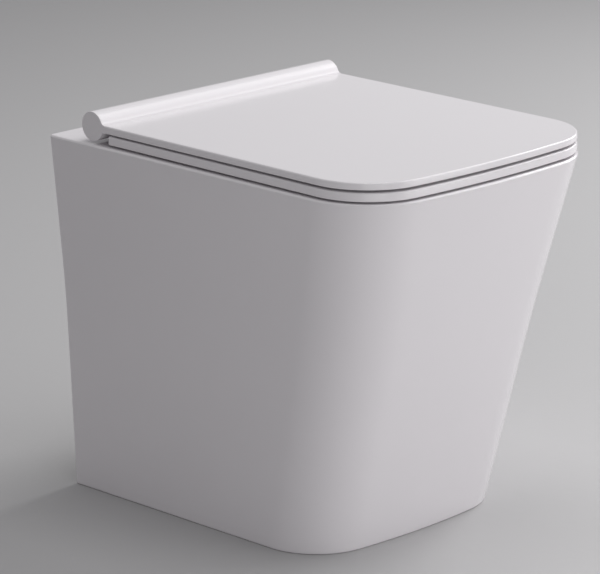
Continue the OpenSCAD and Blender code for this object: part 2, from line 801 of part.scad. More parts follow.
stud_bevel = 1;
stud_key_r = 2.3;
stud_key_h = 3;
module hinge_stud_bolts() {
  stud_top = neck_z + neck_h + stud_h;
  color("silver") place() both_sides() translate([hole_x, -axis_y, 0]) difference() {
    union() {
      translate([0, 0, pan_h - bolt_l]) cylinder(r = bolt_r, h = bolt_l + base_plate_t + over_c);
      translate([0, 0, pan_h + base_plate_t]) cylinder(r = flange_r, h = flange_t);
      translate([0, 0, neck_z - eps]) cylinder(r = neck_r, h = neck_h + 2 * eps);
      translate([0, 0, neck_z + neck_h]) cylinder(r = stud_r, h = stud_h - stud_bevel);
      translate([0, 0, stud_top - stud_bevel - eps])
        cylinder(r1 = stud_r, r2 = stud_r - stud_bevel, h = stud_bevel);
    }
    translate([0, 0, stud_top - stud_key_h]) cylinder(r = stud_key_r, h = stud_key_h + over_c, $fn = 6);
  }
}

plug_c = 0.3;
module expanding_plugs() {
  color("dimgray") place() both_sides() translate([hole_x, -axis_y, pan_h - plug_l]) difference() {
    cylinder(r = seat_hole_r - plug_c, h = plug_l);
    translate([0, 0, -over_c]) cylinder(r = bolt_r + slide_c, h = plug_l + 2 * over_c);
  }
}

nut_h = 10;
nut_c = 0.8;
nut_nose = 1.5;
module wedge_nuts() {
  color("goldenrod") place() both_sides() translate([hole_x, -axis_y, pan_h - plug_l - nut_h]) difference() {
    union() {
      cylinder(r = seat_hole_r - nut_c, h = nut_h / 2);
      translate([0, 0, nut_h / 2 - eps])
        cylinder(r1 = seat_hole_r - nut_c, r2 = bolt_r + nut_nose, h = nut_h / 2 + eps);
    }
    translate([0, 0, -over_c]) cylinder(r = bolt_r + press_c, h = nut_h + 2 * over_c);
  }
}

module seat_buffers() {
  color("whitesmoke") place() for (p = seat_buffer_at)
    translate([p[0], p[1], pan_h + rest_c]) cylinder(r = buffer_r, h = seat_gap + buffer_sink - rest_c);
}

module lid_buffers() {
  color("whitesmoke") place() for (p = lid_buffer_at)
    translate([p[0], p[1], seat_top + rest_c]) cylinder(r = buffer_r, h = lid_gap + lid_recess - rest_c);
}

// One floor bracket: foot plate, upright, top flange and a welded nut under it
upright_in = 24;
bracket_hd = 22;
foot_edge = 12;
flange_edge = 16;
weld_nut_h = 8;
module floor_bracket() {
  up_x = hole_x + upright_in;
  foot_w = floor_hole_w / 2 - up_x + flange_edge;
  foot_l = floor_hole_l + 2 * foot_edge;
  nut_z = bracket_top - bracket_t - weld_nut_h;
  difference() {
    union() {
      translate([up_x, -axis_y - foot_l / 2, 0]) cube([foot_w, foot_l, bracket_t]);
      translate([up_x, -axis_y - bracket_hd, 0]) cube([bracket_t, 2 * bracket_hd, bracket_top]);
      translate([hole_x - flange_edge, -axis_y - bracket_hd, bracket_top - bracket_t])
        cube([upright_in + flange_edge + bracket_t, 2 * bracket_hd, bracket_t]);
      translate([hole_x, -axis_y, nut_z + eps]) cylinder(r = 2 * clamp_r, h = weld_nut_h, $fn = 6);
    }
    translate([hole_x, -axis_y, nut_z - over_c])
      cylinder(r = clamp_r + press_c, h = weld_nut_h + bracket_t + 2 * over_c);
    for (s = [-1, 1])
      translate([floor_hole_w / 2, -axis_y + s * floor_hole_l / 2, -over_c])
        cylinder(r = floor_hole_r, h = bracket_t + 2 * over_c);
  }
}

module floor_brackets() {
  color("silver") place() both_sides() floor_bracket();
}

// Clamp screws: a socket head in the proportions of its thread, and a tip past the welded nut
screw_tip = 6;
head_share = 1.6;
socket_share = 0.85;
module clamp_screws() {
  head_z = ledge_z + cushion_t + washer_t;
  tip_z = bracket_top - bracket_t - weld_nut_h - screw_tip;
  color("silver") place() both_sides() translate([hole_x, -axis_y, 0]) difference() {
    union() {
      translate([0, 0, tip_z]) cylinder(r = clamp_r, h = head_z - tip_z + over_c);
      translate([0, 0, head_z]) cylinder(r = head_share * clamp_r, h = 2 * clamp_r);
    }
    translate([0, 0, head_z + clamp_r]) cylinder(r = socket_share * clamp_r, h = 2 * clamp_r, $fn = 6);
  }
}

module ring_pair(z, r, h) {
  place() both_sides() translate([hole_x, -axis_y, z]) difference() {
    cylinder(r = r, h = h);
    translate([0, 0, -over_c]) cylinder(r = clamp_r + socket_c, h = h + 2 * over_c);
  }
}

module clamp_washers() color("silver") ring_pair(ledge_z + cushion_t, washer_r, washer_t);
module cushion_washers() color("ivory") ring_pair(ledge_z, cushion_r, cushion_t);

seal_lip = 6;
seal_lip_t = 4;
module flush_inlet_seal() {
  color("dimgray") place() difference() {
    union() {
      y_cyl(-inlet_back - seal_l, -inlet_back, inlet_z, inlet_bore_r - press_c);
      y_cyl(-inlet_back, -inlet_back + seal_lip_t, inlet_z, inlet_bore_r + seal_lip);
    }
    y_cyl(-inlet_back - seal_l - over_c, -inlet_back + seal_lip_t + over_c, inlet_z, flush_pipe_r + slide_c);
  }
}

pan();
seat();
lid();
left_hinge_post();
right_hinge_post();
left_hinge_shaft();
right_hinge_shaft();
left_release_button();
right_release_button();
lid_damper_housing();
lid_damper_cap();
lid_damper_rotor();
seat_damper_housing();
seat_damper_cap();
seat_damper_rotor();
lid_pivot_bush();
seat_pivot_bush();
hinge_base_plates();
hinge_stud_bolts();
expanding_plugs();
wedge_nuts();
seat_buffers();
lid_buffers();
floor_brackets();
clamp_screws();
clamp_washers();
cushion_washers();
flush_inlet_seal();
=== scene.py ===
"""Back to wall toilet: ceramic pan, soft-close seat and lid, quick-release hinge and hidden floor fixing.

Sizes are in millimetres, and y runs from the wall (0) to the front (negative) until a piece is finished.
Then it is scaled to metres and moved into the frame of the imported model.
"""
import logging
import math
import sys
from collections.abc import Callable, Iterable, Sequence
from dataclasses import astuple, dataclass, replace
from enum import Enum

import bmesh
import bpy
from mathutils import Matrix, Vector

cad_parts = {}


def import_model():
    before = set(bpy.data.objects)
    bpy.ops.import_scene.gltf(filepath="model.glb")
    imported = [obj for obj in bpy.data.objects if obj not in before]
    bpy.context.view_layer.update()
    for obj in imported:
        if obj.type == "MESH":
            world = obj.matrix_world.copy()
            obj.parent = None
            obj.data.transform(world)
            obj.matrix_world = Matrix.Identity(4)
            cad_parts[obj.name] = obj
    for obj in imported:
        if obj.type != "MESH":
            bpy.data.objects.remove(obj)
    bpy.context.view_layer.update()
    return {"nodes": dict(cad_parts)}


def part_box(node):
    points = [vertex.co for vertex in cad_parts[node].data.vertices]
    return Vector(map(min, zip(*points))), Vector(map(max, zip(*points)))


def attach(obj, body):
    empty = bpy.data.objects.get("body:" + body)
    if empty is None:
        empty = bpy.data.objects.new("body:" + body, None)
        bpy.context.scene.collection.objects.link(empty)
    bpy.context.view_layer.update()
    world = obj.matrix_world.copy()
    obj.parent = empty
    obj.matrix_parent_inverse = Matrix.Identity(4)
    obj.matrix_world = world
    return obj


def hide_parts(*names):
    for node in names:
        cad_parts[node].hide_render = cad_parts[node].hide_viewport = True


Vert, Edge = bmesh.types.BMVert, bmesh.types.BMEdge
Object, Socket = bpy.types.Object, bpy.types.NodeSocket
Sockets, Inputs = dict[str, Socket], dict[str, object]
Point, Triple, Pair = Sequence[float], tuple[float, float, float], tuple[float, float]

LOG = logging.getLogger("toilet")
MM = 0.001  # a millimetre in metres
WALL_Y = 240.0  # the wall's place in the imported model
OVER = 1.0  # how far a cut runs past what it cuts
PLAY = 0.2  # slack round a part that slides or screws
SLIVER, TOUCHING = 0.0001, 0.0001  # edges shorter and points closer than these are merged
LEVEL = 0.000001  # an edge whose ends differ less in height lies level
COARSE, MEDIUM, FINE = 48, 64, 96  # faces round a small, a middling and a large circle
QUARTER = math.pi / 2
ROUNDING = [math.radians(15 * i) for i in range(7)]  # the angles of a quarter round
SHARP, SMOOTH_BELOW = math.radians(30), math.radians(35)
LEAN = 60  # weight of the large faces in the normals
LEAST_R = 0.6  # least radius of an outline's rear corners
HEXAGON = 6  # faces of a nut or a key's socket
BARE = 1  # number of the unglazed finish on the pan
AXIS_R = 0.001  # radius of a turned profile at its axis
SIGNS = (-1, 1)
MIRROR = Matrix.Diagonal((-1, 1, 1, 1))


class Body(Enum):
    """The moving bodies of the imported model."""

    PAN = "pan_body"
    LID = "lid_body"
    SEAT = "seat_body"
    LEFT_BUTTON = "left_button_body"
    RIGHT_BUTTON = "right_button_body"


class Side(Enum):
    """The two sides of the toilet, as seen from the front."""

    LEFT = "left"
    RIGHT = "right"


# ---------------------------------------------------------------- solids


@dataclass(frozen=True)
class Outline:
    """A D-shaped outline: rear corners, straight or tapering sides, round front corners and a bowed front."""

    rear_hw: float
    front_hw: float
    front: float
    bow: float
    corner: float
    rear: float
    rear_r: float

    def grown(self, d: float) -> "Outline":
        """The outline moved outwards by d millimetres, or drawn in where d is negative."""
        return replace(
            self, rear_hw=self.rear_hw + d, front_hw=self.front_hw + d, front=self.front + d,
            corner=self.corner + d, rear=self.rear - d, rear_r=max(self.rear_r + d, LEAST_R),
        )

    def towards(self, other: "Outline", t: float) -> "Outline":
        """The outline mixed with another one, which has the share t."""
        return Outline(*(a + (b - a) * t for a, b in zip(astuple(self), astuple(other))))


Levels = list[tuple[float, Outline]]


def round_outline(centre_y: float, r: float) -> Outline:
    """A nearly round outline for the bowl, by its centre's distance from the wall and its radius."""
    return Outline(r, r, centre_y + r, 0.6 * r, 0.8 * r, centre_y - r, 0.96 * r)


def rounded(low: float, high: float, outline: Outline, r: float) -> Levels:
    """The levels of a plate or an opening with a quarter round at both faces.

    Args:
        low: The lower face.
        high: The upper face.
        outline: The outline between the rounds.
        r: Radius of the rounds. Below 0 they draw the outline in, as on a plate, and above 0 they flare it.

    Returns:
        Heights and outlines.
    """
    steps = [(abs(r) * (1 - math.sin(a)), outline.grown(r * (1 - math.cos(a)))) for a in ROUNDING]
    return [(low + z, o) for z, o in reversed(steps)] + [(high - z, o) for z, o in steps]


def only(elements: Iterable, kind: type) -> list:
    """The elements of one kind among those that an operator made."""
    return [g for g in elements if isinstance(g, kind)]


class Solid:
    """A closed shape that is modelled with bmesh operators."""

    def __init__(self) -> None:
        """Starts an empty shape."""
        self.bm = bmesh.new()

    def line(self, vert: Vert, to: Point, cuts: int = 0) -> Vert:
        """Draws an edge from a vertex.

        Args:
            vert: Where the edge starts.
            to: Where it ends.
            cuts: How many vertices divide it.

        Returns:
            The vertex at its end.
        """
        start, way = vert.co.copy(), Vector(to)
        for i in range(cuts + 1):
            vert = bmesh.ops.extrude_vert_indiv(self.bm, verts=[vert])["verts"][0]
            vert.co = start.lerp(way, (i + 1) / (cuts + 1))
        return vert

    def path(self, vert: Vert, points: Iterable[Point]) -> Vert:
        """Draws edges from a vertex through points.

        Args:
            vert: Where the path starts.
            points: The ends of its edges.

        Returns:
            The vertex at its end.
        """
        for point in points:
            vert = self.line(vert, point)
        return vert

    def spun(
        self, elements: Sequence, centre: Point, axis: Point, angle: float, steps: int, merge: bool = False,
    ) -> list:
        """Sweeps elements round an axis.

        Args:
            elements: What is swept.
            centre: A point on the axis.
            axis: Its direction.
            angle: The angle in radians, by the right-hand rule.
            steps: How many edges or faces lie along the way.
            merge: Whether the end is joined to the start, for a full turn.

        Returns:
            The elements at the end.
        """
        return bmesh.ops.spin(
            self.bm, geom=elements, cent=centre, axis=axis, dvec=(0, 0, 0), angle=angle, steps=steps,
            space=Matrix.Identity(4), use_merge=merge, use_normal_flip=False, use_duplicate=False,
        )["geom_last"]

    def arc(self, vert: Vert, centre: Point, angle: float, steps: int) -> Vert:
        """Draws an arc from a vertex round an upright axis, and gives the vertex at its end."""
        return only(self.spun([vert], centre, (0, 0, 1), angle, steps), Vert)[0]

    def ring(self, outline: Outline, z: float) -> list[Edge]:
        """Draws a closed D-shaped outline.

        Args:
            outline: Its sizes.
            z: Its height.

        Returns:
            The edges of the outline.
        """
        o, part = outline, Solid()
        bow_r = (o.front_hw**2 + o.bow**2) / (2 * o.bow)
        bow_y = bow_r - o.front
        corner_x = o.front_hw - o.corner
        corner_y = bow_y - math.sqrt(max((bow_r - o.corner) ** 2 - corner_x * corner_x, 0.0))
        turn = math.atan2(corner_y - bow_y, corner_x)
        vert = part.bm.verts.new((0, -o.rear, z))
        vert = part.line(vert, (o.rear_hw - o.rear_r, -o.rear, z), 4)
        vert = part.arc(vert, (o.rear_hw - o.rear_r, -o.rear - o.rear_r, z), -QUARTER, 8)
        vert = part.line(vert, (o.front_hw, corner_y, z), 8)
        vert = part.arc(vert, (corner_x, corner_y, z), turn, 26)
        vert = part.arc(vert, (0, bow_y, z), -QUARTER - turn, 16)
        vert.co.x = 0
        bmesh.ops.mirror(
            part.bm, geom=part.bm.verts[:] + part.bm.edges[:], matrix=Matrix.Identity(4), merge_dist=TOUCHING,
            axis="X",
        )
        return self.take(part)

    def take(self, part: "Solid") -> list[Edge]:
        """Adds another shape's elements to this one.

        Args:
            part: The shape, which is used up.

        Returns:
            The edges that were added.
        """
        old = len(self.bm.edges)
        mesh = bpy.data.meshes.new("part")
        part.bm.to_mesh(mesh)
        part.bm.free()
        self.bm.from_mesh(mesh)
        bpy.data.meshes.remove(mesh)
        self.bm.edges.ensure_lookup_table()
        return self.bm.edges[old:]

    def loft(self, levels: Levels) -> "Solid":
        """Joins outlines at rising heights into a closed shape.

        Args:
            levels: Heights and outlines.

        Returns:
            This shape.
        """
        rings = [self.ring(outline, z) for z, outline in levels]
        for low, high in zip(rings, rings[1:]):
            bmesh.ops.bridge_loops(self.bm, edges=low + high)
        for end in (rings[0], rings[-1]):
            bmesh.ops.contextual_create(self.bm, geom=end)
        return self.outwards()

    def outwards(self) -> "Solid":
        """Turns all faces outwards."""
        bmesh.ops.recalc_face_normals(self.bm, faces=self.bm.faces[:])
        return self

    def lathe(self, profile: Sequence[Pair], steps: int = COARSE) -> "Solid":
        """Turns a closed profile about the Z axis.

        Args:
            profile: Radii and heights in order.
            steps: How many faces go round.

        Returns:
            This shape.
        """
        first = self.bm.verts.new((profile[0][0], 0, profile[0][1]))
        self.bm.edges.new((self.path(first, [(r, 0, z) for r, z in profile[1:]]), first))
        self.spun(self.bm.verts[:] + self.bm.edges[:], (0, 0, 0), (0, 0, 1), 2 * math.pi, steps, merge=True)
        bmesh.ops.remove_doubles(self.bm, verts=self.bm.verts[:], dist=TOUCHING)
        return self.outwards()

    def raised(self, start: Vert, end: Vert, length: float) -> "Solid":
        """Closes a section on the XY plane and extrudes it upwards.

        Args:
            start: The section's first vertex.
            end: Its last vertex.
            length: How far it goes up.

        Returns:
            This shape.
        """
        self.bm.edges.new((end, start))
        face = bmesh.ops.contextual_create(self.bm, geom=self.bm.edges[:])["faces"]
        made = bmesh.ops.extrude_face_region(self.bm, geom=face)["geom"]
        bmesh.ops.translate(self.bm, verts=only(made, Vert), vec=(0, 0, length))
        return self.outwards()

    def push(self, edges: Sequence[Edge], way: Point) -> list[Edge]:
        """Extrudes a loop straight.

        Args:
            edges: The loop.
            way: How far each of its vertices goes.

        Returns:
            The loop at the other end.
        """
        made = bmesh.ops.extrude_edge_only(self.bm, edges=edges)["geom"]
        bmesh.ops.translate(self.bm, verts=only(made, Vert), vec=way)
        return only(made, Edge)

    def bend(self, edges: Sequence[Edge], centre: Point, angle: float, steps: int) -> list[Edge]:
        """Sweeps a loop round a centre in the middle plane, and gives the loop at the other end."""
        verts = dict.fromkeys(v for e in edges for v in e.verts)
        return only(self.spun([*verts, *edges], centre, (1, 0, 0), angle, steps), Edge)

    def block(self, low: Point, high: Point) -> "Solid":
        """Adds a box.

        Args:
            low: Its lowest corner.
            high: Its highest corner.

        Returns:
            This shape.
        """
        size = Vector(high) - Vector(low)
        place = Matrix.Translation((Vector(high) + Vector(low)) / 2) @ Matrix.Diagonal((*size, 1))
        bmesh.ops.create_cube(self.bm, size=1, matrix=place)
        return self

    def rod(self, start: Point, end: Point, r: float, steps: int = MEDIUM) -> "Solid":
        """Adds a round bar.

        Args:
            start: Centre of its first end.
            end: Centre of its other end.
            r: Its radius.
            steps: How many faces go round.

        Returns:
            This shape.
        """
        a, b = Vector(start), Vector(end)
        turn = (b - a).to_track_quat("Z", "Y").to_matrix().to_4x4()
        bmesh.ops.create_cone(
            self.bm, cap_ends=True, segments=steps, radius1=r, radius2=r, depth=(b - a).length,
            matrix=Matrix.Translation((a + b) / 2) @ turn,
        )
        return self

    def pin(self, x: float, y: float, ends: Pair, r: float, steps: int = MEDIUM) -> "Solid":
        """Adds an upright round bar between two heights."""
        return self.rod((x, y, ends[0]), (x, y, ends[1]), r, steps)

    def bevel(self, width: float, segments: int = 3, edges: Sequence[Edge] | None = None) -> "Solid":
        """Rounds edges.

        Args:
            width: Width of the round.
            segments: How many faces go across it.
            edges: The edges, or None for all sharp ones.

        Returns:
            This shape.
        """
        if edges is None:
            edges = [e for e in self.bm.edges if len(e.link_faces) == 2 and e.calc_face_angle(0.0) > SHARP]
        bmesh.ops.bevel(
            self.bm, geom=edges, offset=width, offset_type="OFFSET", segments=segments, profile=0.5,
            affect="EDGES", material=-1, clamp_overlap=True,
        )
        return self

    def moved(self, matrix: Matrix) -> "Solid":
        """Moves or turns the shape.

        Args:
            matrix: How it moves. A mirror turns the faces out again.

        Returns:
            This shape.
        """
        bmesh.ops.transform(self.bm, matrix=matrix, verts=self.bm.verts[:])
        if matrix.determinant() < 0:
            bmesh.ops.reverse_faces(self.bm, faces=self.bm.faces[:])
        return self

    def shifted(self, x: float, y: float, z: float) -> "Solid":
        """Moves the shape along each axis."""
        return self.moved(Matrix.Translation((x, y, z)))

    def painted(self, index: int) -> "Solid":
        """Gives all faces one of the piece's materials, by its number."""
        for face in self.bm.faces:
            face.material_index = index
        return self

    def mirrored(self) -> "Solid":
        """A mirror image of the shape, as a shape of its own."""
        image = Solid()
        image.bm = self.bm.copy()
        return image.moved(MIRROR)

    def doubled(self) -> "Solid":
        """Adds the mirror image to the shape."""
        self.take(self.mirrored())
        return self

    def placed(self, name: str) -> Object:
        """Puts the shape in the scene.

        Args:
            name: The name of its mesh and its object.

        Returns:
            The object. The shape is used up.
        """
        mesh = bpy.data.meshes.new(name)
        self.bm.to_mesh(mesh)
        self.bm.free()
        made = bpy.data.objects.new(name, mesh)
        bpy.context.scene.collection.objects.link(made)
        return made


def section_along_x(x: float, y: float, z: float) -> Matrix:
    """A placement that turns a prism on the XY plane into a section of the YZ plane, running along +X."""
    return Matrix.Translation((x, y, z)) @ Matrix(((0, 0, 1, 0), (1, 0, 0, 0), (0, 1, 0, 0), (0, 0, 0, 1)))


def combined(base: Solid, joined: Sequence[Solid] = (), cut: Sequence[Solid] = ()) -> Solid:
    """Joins shapes to a shape, and cuts others out of it.

    Args:
        base: The shape to start from.
        joined: Shapes that become one with it.
        cut: Shapes that are taken out, after the joins.

    Returns:
        One closed shape.
    """
    objects = [solid.placed(f"step{i}") for i, solid in enumerate((base, *joined, *cut))]
    for i, obj in enumerate(objects[1:]):
        step = objects[0].modifiers.new(f"step{i}", "BOOLEAN")
        step.operation = "UNION" if i < len(joined) else "DIFFERENCE"
        step.solver = "MANIFOLD"
        step.object = obj
    evaluated = objects[0].evaluated_get(bpy.context.evaluated_depsgraph_get())
    result = Solid()
    result.bm.from_mesh(evaluated.to_mesh())
    evaluated.to_mesh_clear()
    bmesh.ops.dissolve_degenerate(result.bm, dist=SLIVER, edges=result.bm.edges[:])
    for obj in objects:
        mesh = obj.data
        bpy.data.objects.remove(obj)
        bpy.data.meshes.remove(mesh)
    return result


# ---------------------------------------------------------------- finishes


class NodeKit:
    """Short ways to write a node tree."""

    def __init__(self, tree: bpy.types.NodeTree) -> None:
        """Keeps the tree that nodes are added to."""
        self.tree = tree

    def add(self, kind: str, links: dict | None = None, **settings: object) -> bpy.types.Node:
        """Adds a node.

        Args:
            kind: Its type.
            links: Its inputs by name or number: a value, or an output socket of another node.
            settings: Its own properties.

        Returns:
            The node.
        """
        node = self.tree.nodes.new(kind)
        for name, value in settings.items():
            setattr(node, name, value)
        for key, value in (links or {}).items():
            if isinstance(value, Socket):
                self.tree.links.new(value, node.inputs[key])
            else:
                node.inputs[key].default_value = value
        return node

    def math(self, operation: str, *values: object) -> Socket:
        """Adds a Math node with its inputs in order, and gives its output."""
        return self.add("ShaderNodeMath", dict(enumerate(values)), operation=operation).outputs[0]

    def ramp(self, value: Socket, low: float, high: float) -> Socket:
        """Maps the range from low to high smoothly to 0..1."""
        ends = {"Value": value, "From Min": low, "From Max": high}
        return self.add("ShaderNodeMapRange", ends, interpolation_type="SMOOTHSTEP").outputs[0]

    def noise(self, vector: Socket, scale: object, detail: float = 3.0) -> Socket:
        """Adds a Noise Texture, and gives its value."""
        links = {"Vector": vector, "Scale": scale, "Detail": detail}
        return self.add("ShaderNodeTexNoise", links).outputs["Fac"]

    def bump(self, height: Socket, millimetres: object, **normal: Socket) -> Socket:
        """Adds a Bump node to the plain surface or to a given Normal, and gives its normal."""
        distance = self.math("MULTIPLY", millimetres, MM)
        return self.add("ShaderNodeBump", {"Height": height, "Distance": distance, **normal}).outputs[0]

    def point(self) -> Socket:
        """The point on the piece, in metres."""
        return self.add("ShaderNodeTexCoord").outputs["Object"]

    def group(self, fill: Callable[["NodeKit", Sockets], Sockets], **values: float) -> bpy.types.NodeOutputs:
        """Places one of the shared node groups, by the function that fills it, with its inputs here."""
        named = {key.capitalize(): value for key, value in values.items()}
        return self.add("ShaderNodeGroup", named, node_tree=shader_group(fill, named)).outputs


def shader_group(fill: Callable[[NodeKit, Sockets], Sockets], inputs: dict[str, float]) -> bpy.types.NodeTree:
    """Builds a shader node group once.

    Args:
        fill: Builds its nodes from its inputs and gives its outputs. The group has its name.
        inputs: Its float inputs and their defaults.

    Returns:
        The group.
    """
    if fill.__name__ in bpy.data.node_groups:
        return bpy.data.node_groups[fill.__name__]
    tree = bpy.data.node_groups.new(fill.__name__, "ShaderNodeTree")
    kit = NodeKit(tree)
    for key, value in inputs.items():
        socket = tree.interface.new_socket(name=key, in_out="INPUT", socket_type="NodeSocketFloat")
        socket.default_value = value
    made = fill(kit, kit.add("NodeGroupInput").outputs)
    for key in made:
        kind = "NodeSocketVector" if key == "Normal" else "NodeSocketFloat"
        tree.interface.new_socket(name=key, in_out="OUTPUT", socket_type=kind)
    kit.add("NodeGroupOutput", made)
    return tree


def soft_waves(kit: NodeKit, given: Sockets) -> Sockets:
    """Fills the group that bends a glossy surface very slightly, as glaze and moulded plastic are.

    Args:
        kit: The group's nodes.
        given: Its inputs.

    Returns:
        The bent normal, and a mask of the glaze's uneven thickness.
    """
    point = kit.point()
    wide = kit.noise(point, given["Scale"], 2.0)
    fine = kit.noise(point, kit.math("MULTIPLY", given["Scale"], 40.0), 2.0)
    return {"Normal": kit.bump(fine, given["Fine"], Normal=kit.bump(wide, given["Height"])), "Mask": wide}


def specks(kit: NodeKit, given: Sockets) -> Sockets:
    """Fills the group that gives rare small specks and pinholes.

    Args:
        kit: The group's nodes.
        given: Its inputs.

    Returns:
        A mask that is 1 in a speck.
    """
    cells = kit.add("ShaderNodeTexVoronoi", {"Vector": kit.point(), "Scale": given["Scale"]})
    near = kit.math("SUBTRACT", 1.0, kit.ramp(cells.outputs["Distance"], 0.02, 0.06))
    chance = kit.add("ShaderNodeSeparateColor", {0: cells.outputs["Color"]}).outputs[0]
    return {"Mask": kit.math("MULTIPLY", near, kit.math("LESS_THAN", chance, given["Share"]))}


def grain(kit: NodeKit, given: Sockets) -> Sockets:
    """Fills the group that roughens a surface with two layers of grain.

    Args:
        kit: The group's nodes.
        given: Its inputs.

    Returns:
        The grainy normal and the grain's value.
    """
    point = kit.point()
    coarse = kit.noise(point, given["Scale"], 4.0)
    fine = kit.noise(point, kit.math("MULTIPLY", given["Scale"], 5.0), 2.0)
    both = kit.math("ADD", kit.math("MULTIPLY", coarse, 0.6), kit.math("MULTIPLY", fine, 0.4))
    return {"Normal": kit.bump(both, given["Height"]), "Mask": both}


def brush_lines(kit: NodeKit, given: Sockets) -> Sockets:
    """Fills the group that draws fine brushed or turned lines, stretched along X.

    Args:
        kit: The group's nodes.
        given: Its inputs.

    Returns:
        The lined normal and the lines' value.
    """
    stretched = kit.add("ShaderNodeMapping", {"Vector": kit.point(), "Scale": (0.04, 1.0, 1.0)}).outputs[0]
    lines = kit.noise(stretched, given["Scale"])
    return {"Normal": kit.bump(lines, given["Height"]), "Mask": lines}


def worn_edges(kit: NodeKit, given: Sockets) -> Sockets:
    """Fills the group that finds the edges which handling polishes or dulls.

    Args:
        kit: The group's nodes.
        given: Its inputs.

    Returns:
        A mask that is 1 on a worn edge.
    """
    pointed = kit.ramp(kit.add("ShaderNodeNewGeometry").outputs["Pointiness"], 0.52, 0.6)
    patchy = kit.ramp(kit.noise(kit.point(), given["Scale"]), 0.35, 0.65)
    return {"Mask": kit.math("MULTIPLY", kit.math("MULTIPLY", pointed, patchy), given["Amount"])}


@dataclass(frozen=True)
class Finish:
    """What every finish has: its name, colour and roughness, which vary a little over the surface."""

    name: str
    colour: Triple
    roughness: float
    tint: Triple = (0.0, 0.0, 0.0)
    slot: str = ""

    def material(self) -> bpy.types.Material:
        """The Blender material, built once.

        Returns:
            The material.
        """
        if self.name in bpy.data.materials:
            return bpy.data.materials[self.name]
        made = bpy.data.materials.new(self.name)
        made.use_nodes = True
        made.node_tree.nodes.clear()
        kit = NodeKit(made.node_tree)
        shader = kit.add("ShaderNodeBsdfPrincipled", self.dress(kit))
        kit.add("ShaderNodeOutputMaterial", {"Surface": shader.outputs[0]})
        made.diffuse_color = (*self.colour, 1.0)
        return made

    def dress(self, kit: NodeKit) -> Inputs:
        """The shader's inputs for a plain matt surface with a faint grain.

        Args:
            kit: The material's nodes.

        Returns:
            Values and sockets by the shader's names.
        """
        bump = kit.add("ShaderNodeBump", {"Height": kit.noise(kit.point(), 60.0), "Distance": 0.2 * MM})
        return {"Base Color": (*self.colour, 1), "Roughness": self.roughness, "Normal": bump.outputs[0]}

    def surface(self, kit: NodeKit, mask: Socket, share: float, spread: float, group: Sockets) -> Inputs:
        """The inputs that most finishes share.

        Args:
            kit: The material's nodes.
            mask: Where the tint shows.
            share: How much of it shows at most.
            spread: How far the roughness wanders.
            group: The group's outputs that bend the normal and let the roughness wander.

        Returns:
            The shader's colour, roughness and normal.
        """
        ends = {"Factor": kit.math("MULTIPLY", mask, share), 6: (*self.colour, 1.0), 7: (*self.tint, 1.0)}
        return {
            "Base Color": kit.add("ShaderNodeMix", ends, data_type="RGBA").outputs[2],
            "Roughness": kit.math("MULTIPLY_ADD", group["Mask"], spread, self.roughness - spread / 2),
            "Normal": group["Normal"],
        }


@dataclass(frozen=True)
class Glaze(Finish):
    """Fired glaze on vitreous china: hard gloss, faint waves, rare pinholes."""

    waves: float = 0.09
    fine: float = 0.0012

    def dress(self, kit: NodeKit) -> Inputs:
        """The shader's inputs for the glaze.

        Args:
            kit: The material's nodes.

        Returns:
            Values and sockets by the shader's names.
        """
        waves = kit.group(soft_waves, scale=9.0, height=self.waves, fine=self.fine)
        pins = kit.group(specks, scale=260.0, share=0.01)
        inputs = self.surface(kit, waves["Mask"], 0.5, 0.03, waves)
        inputs["Roughness"] = kit.math("MULTIPLY_ADD", pins["Mask"], 0.2, inputs["Roughness"])
        return {**inputs, "IOR": 1.52}


@dataclass(frozen=True)
class Moulded(Finish):
    """Pressed thermoset or moulded plastic: gloss or satin with the faint waves of the tool."""

    grain: float = 0.0
    grain_scale: float = 900.0
    waves: float = 0.02
    fine: float = 0.0006

    def dress(self, kit: NodeKit) -> Inputs:
        """The shader's inputs for the plastic.

        Args:
            kit: The material's nodes.

        Returns:
            Values and sockets by the shader's names.
        """
        if self.grain:
            group = kit.group(grain, scale=self.grain_scale, height=self.grain)
        else:
            group = kit.group(soft_waves, scale=12.0, height=self.waves, fine=self.fine)
        return {**self.surface(kit, group["Mask"], 0.6, 0.08, group), "IOR": 1.5}


@dataclass(frozen=True)
class Metal(Finish):
    """Chromed, brushed, plated or turned metal with worn edges."""

    lines: float = 0.004
    line_scale: float = 2600.0
    wear: float = 0.5

    def dress(self, kit: NodeKit) -> Inputs:
        """The shader's inputs for the metal.

        Args:
            kit: The material's nodes.

        Returns:
            Values and sockets by the shader's names.
        """
        lines = kit.group(brush_lines, scale=self.line_scale, height=self.lines)
        worn = kit.group(worn_edges, scale=300.0, amount=self.wear)
        mask = kit.math("MAXIMUM", worn["Mask"], kit.math("MULTIPLY", lines["Mask"], 0.35))
        return {**self.surface(kit, mask, 0.8, 0.12, lines), "Metallic": 1.0}


@dataclass(frozen=True)
class Rubber(Finish):
    """Moulded rubber: dull, finely grained, paler where it is rubbed."""

    bloom: float = 0.6

    def dress(self, kit: NodeKit) -> Inputs:
        """The shader's inputs for the rubber.

        Args:
            kit: The material's nodes.

        Returns:
            Values and sockets by the shader's names.
        """
        rough = kit.group(grain, scale=1400.0, height=0.02)
        worn = kit.group(worn_edges, scale=200.0, amount=self.bloom)
        mask = kit.math("MAXIMUM", worn["Mask"], kit.math("MULTIPLY", rough["Mask"], 0.4))
        return self.surface(kit, mask, 1.0, 0.15, rough)


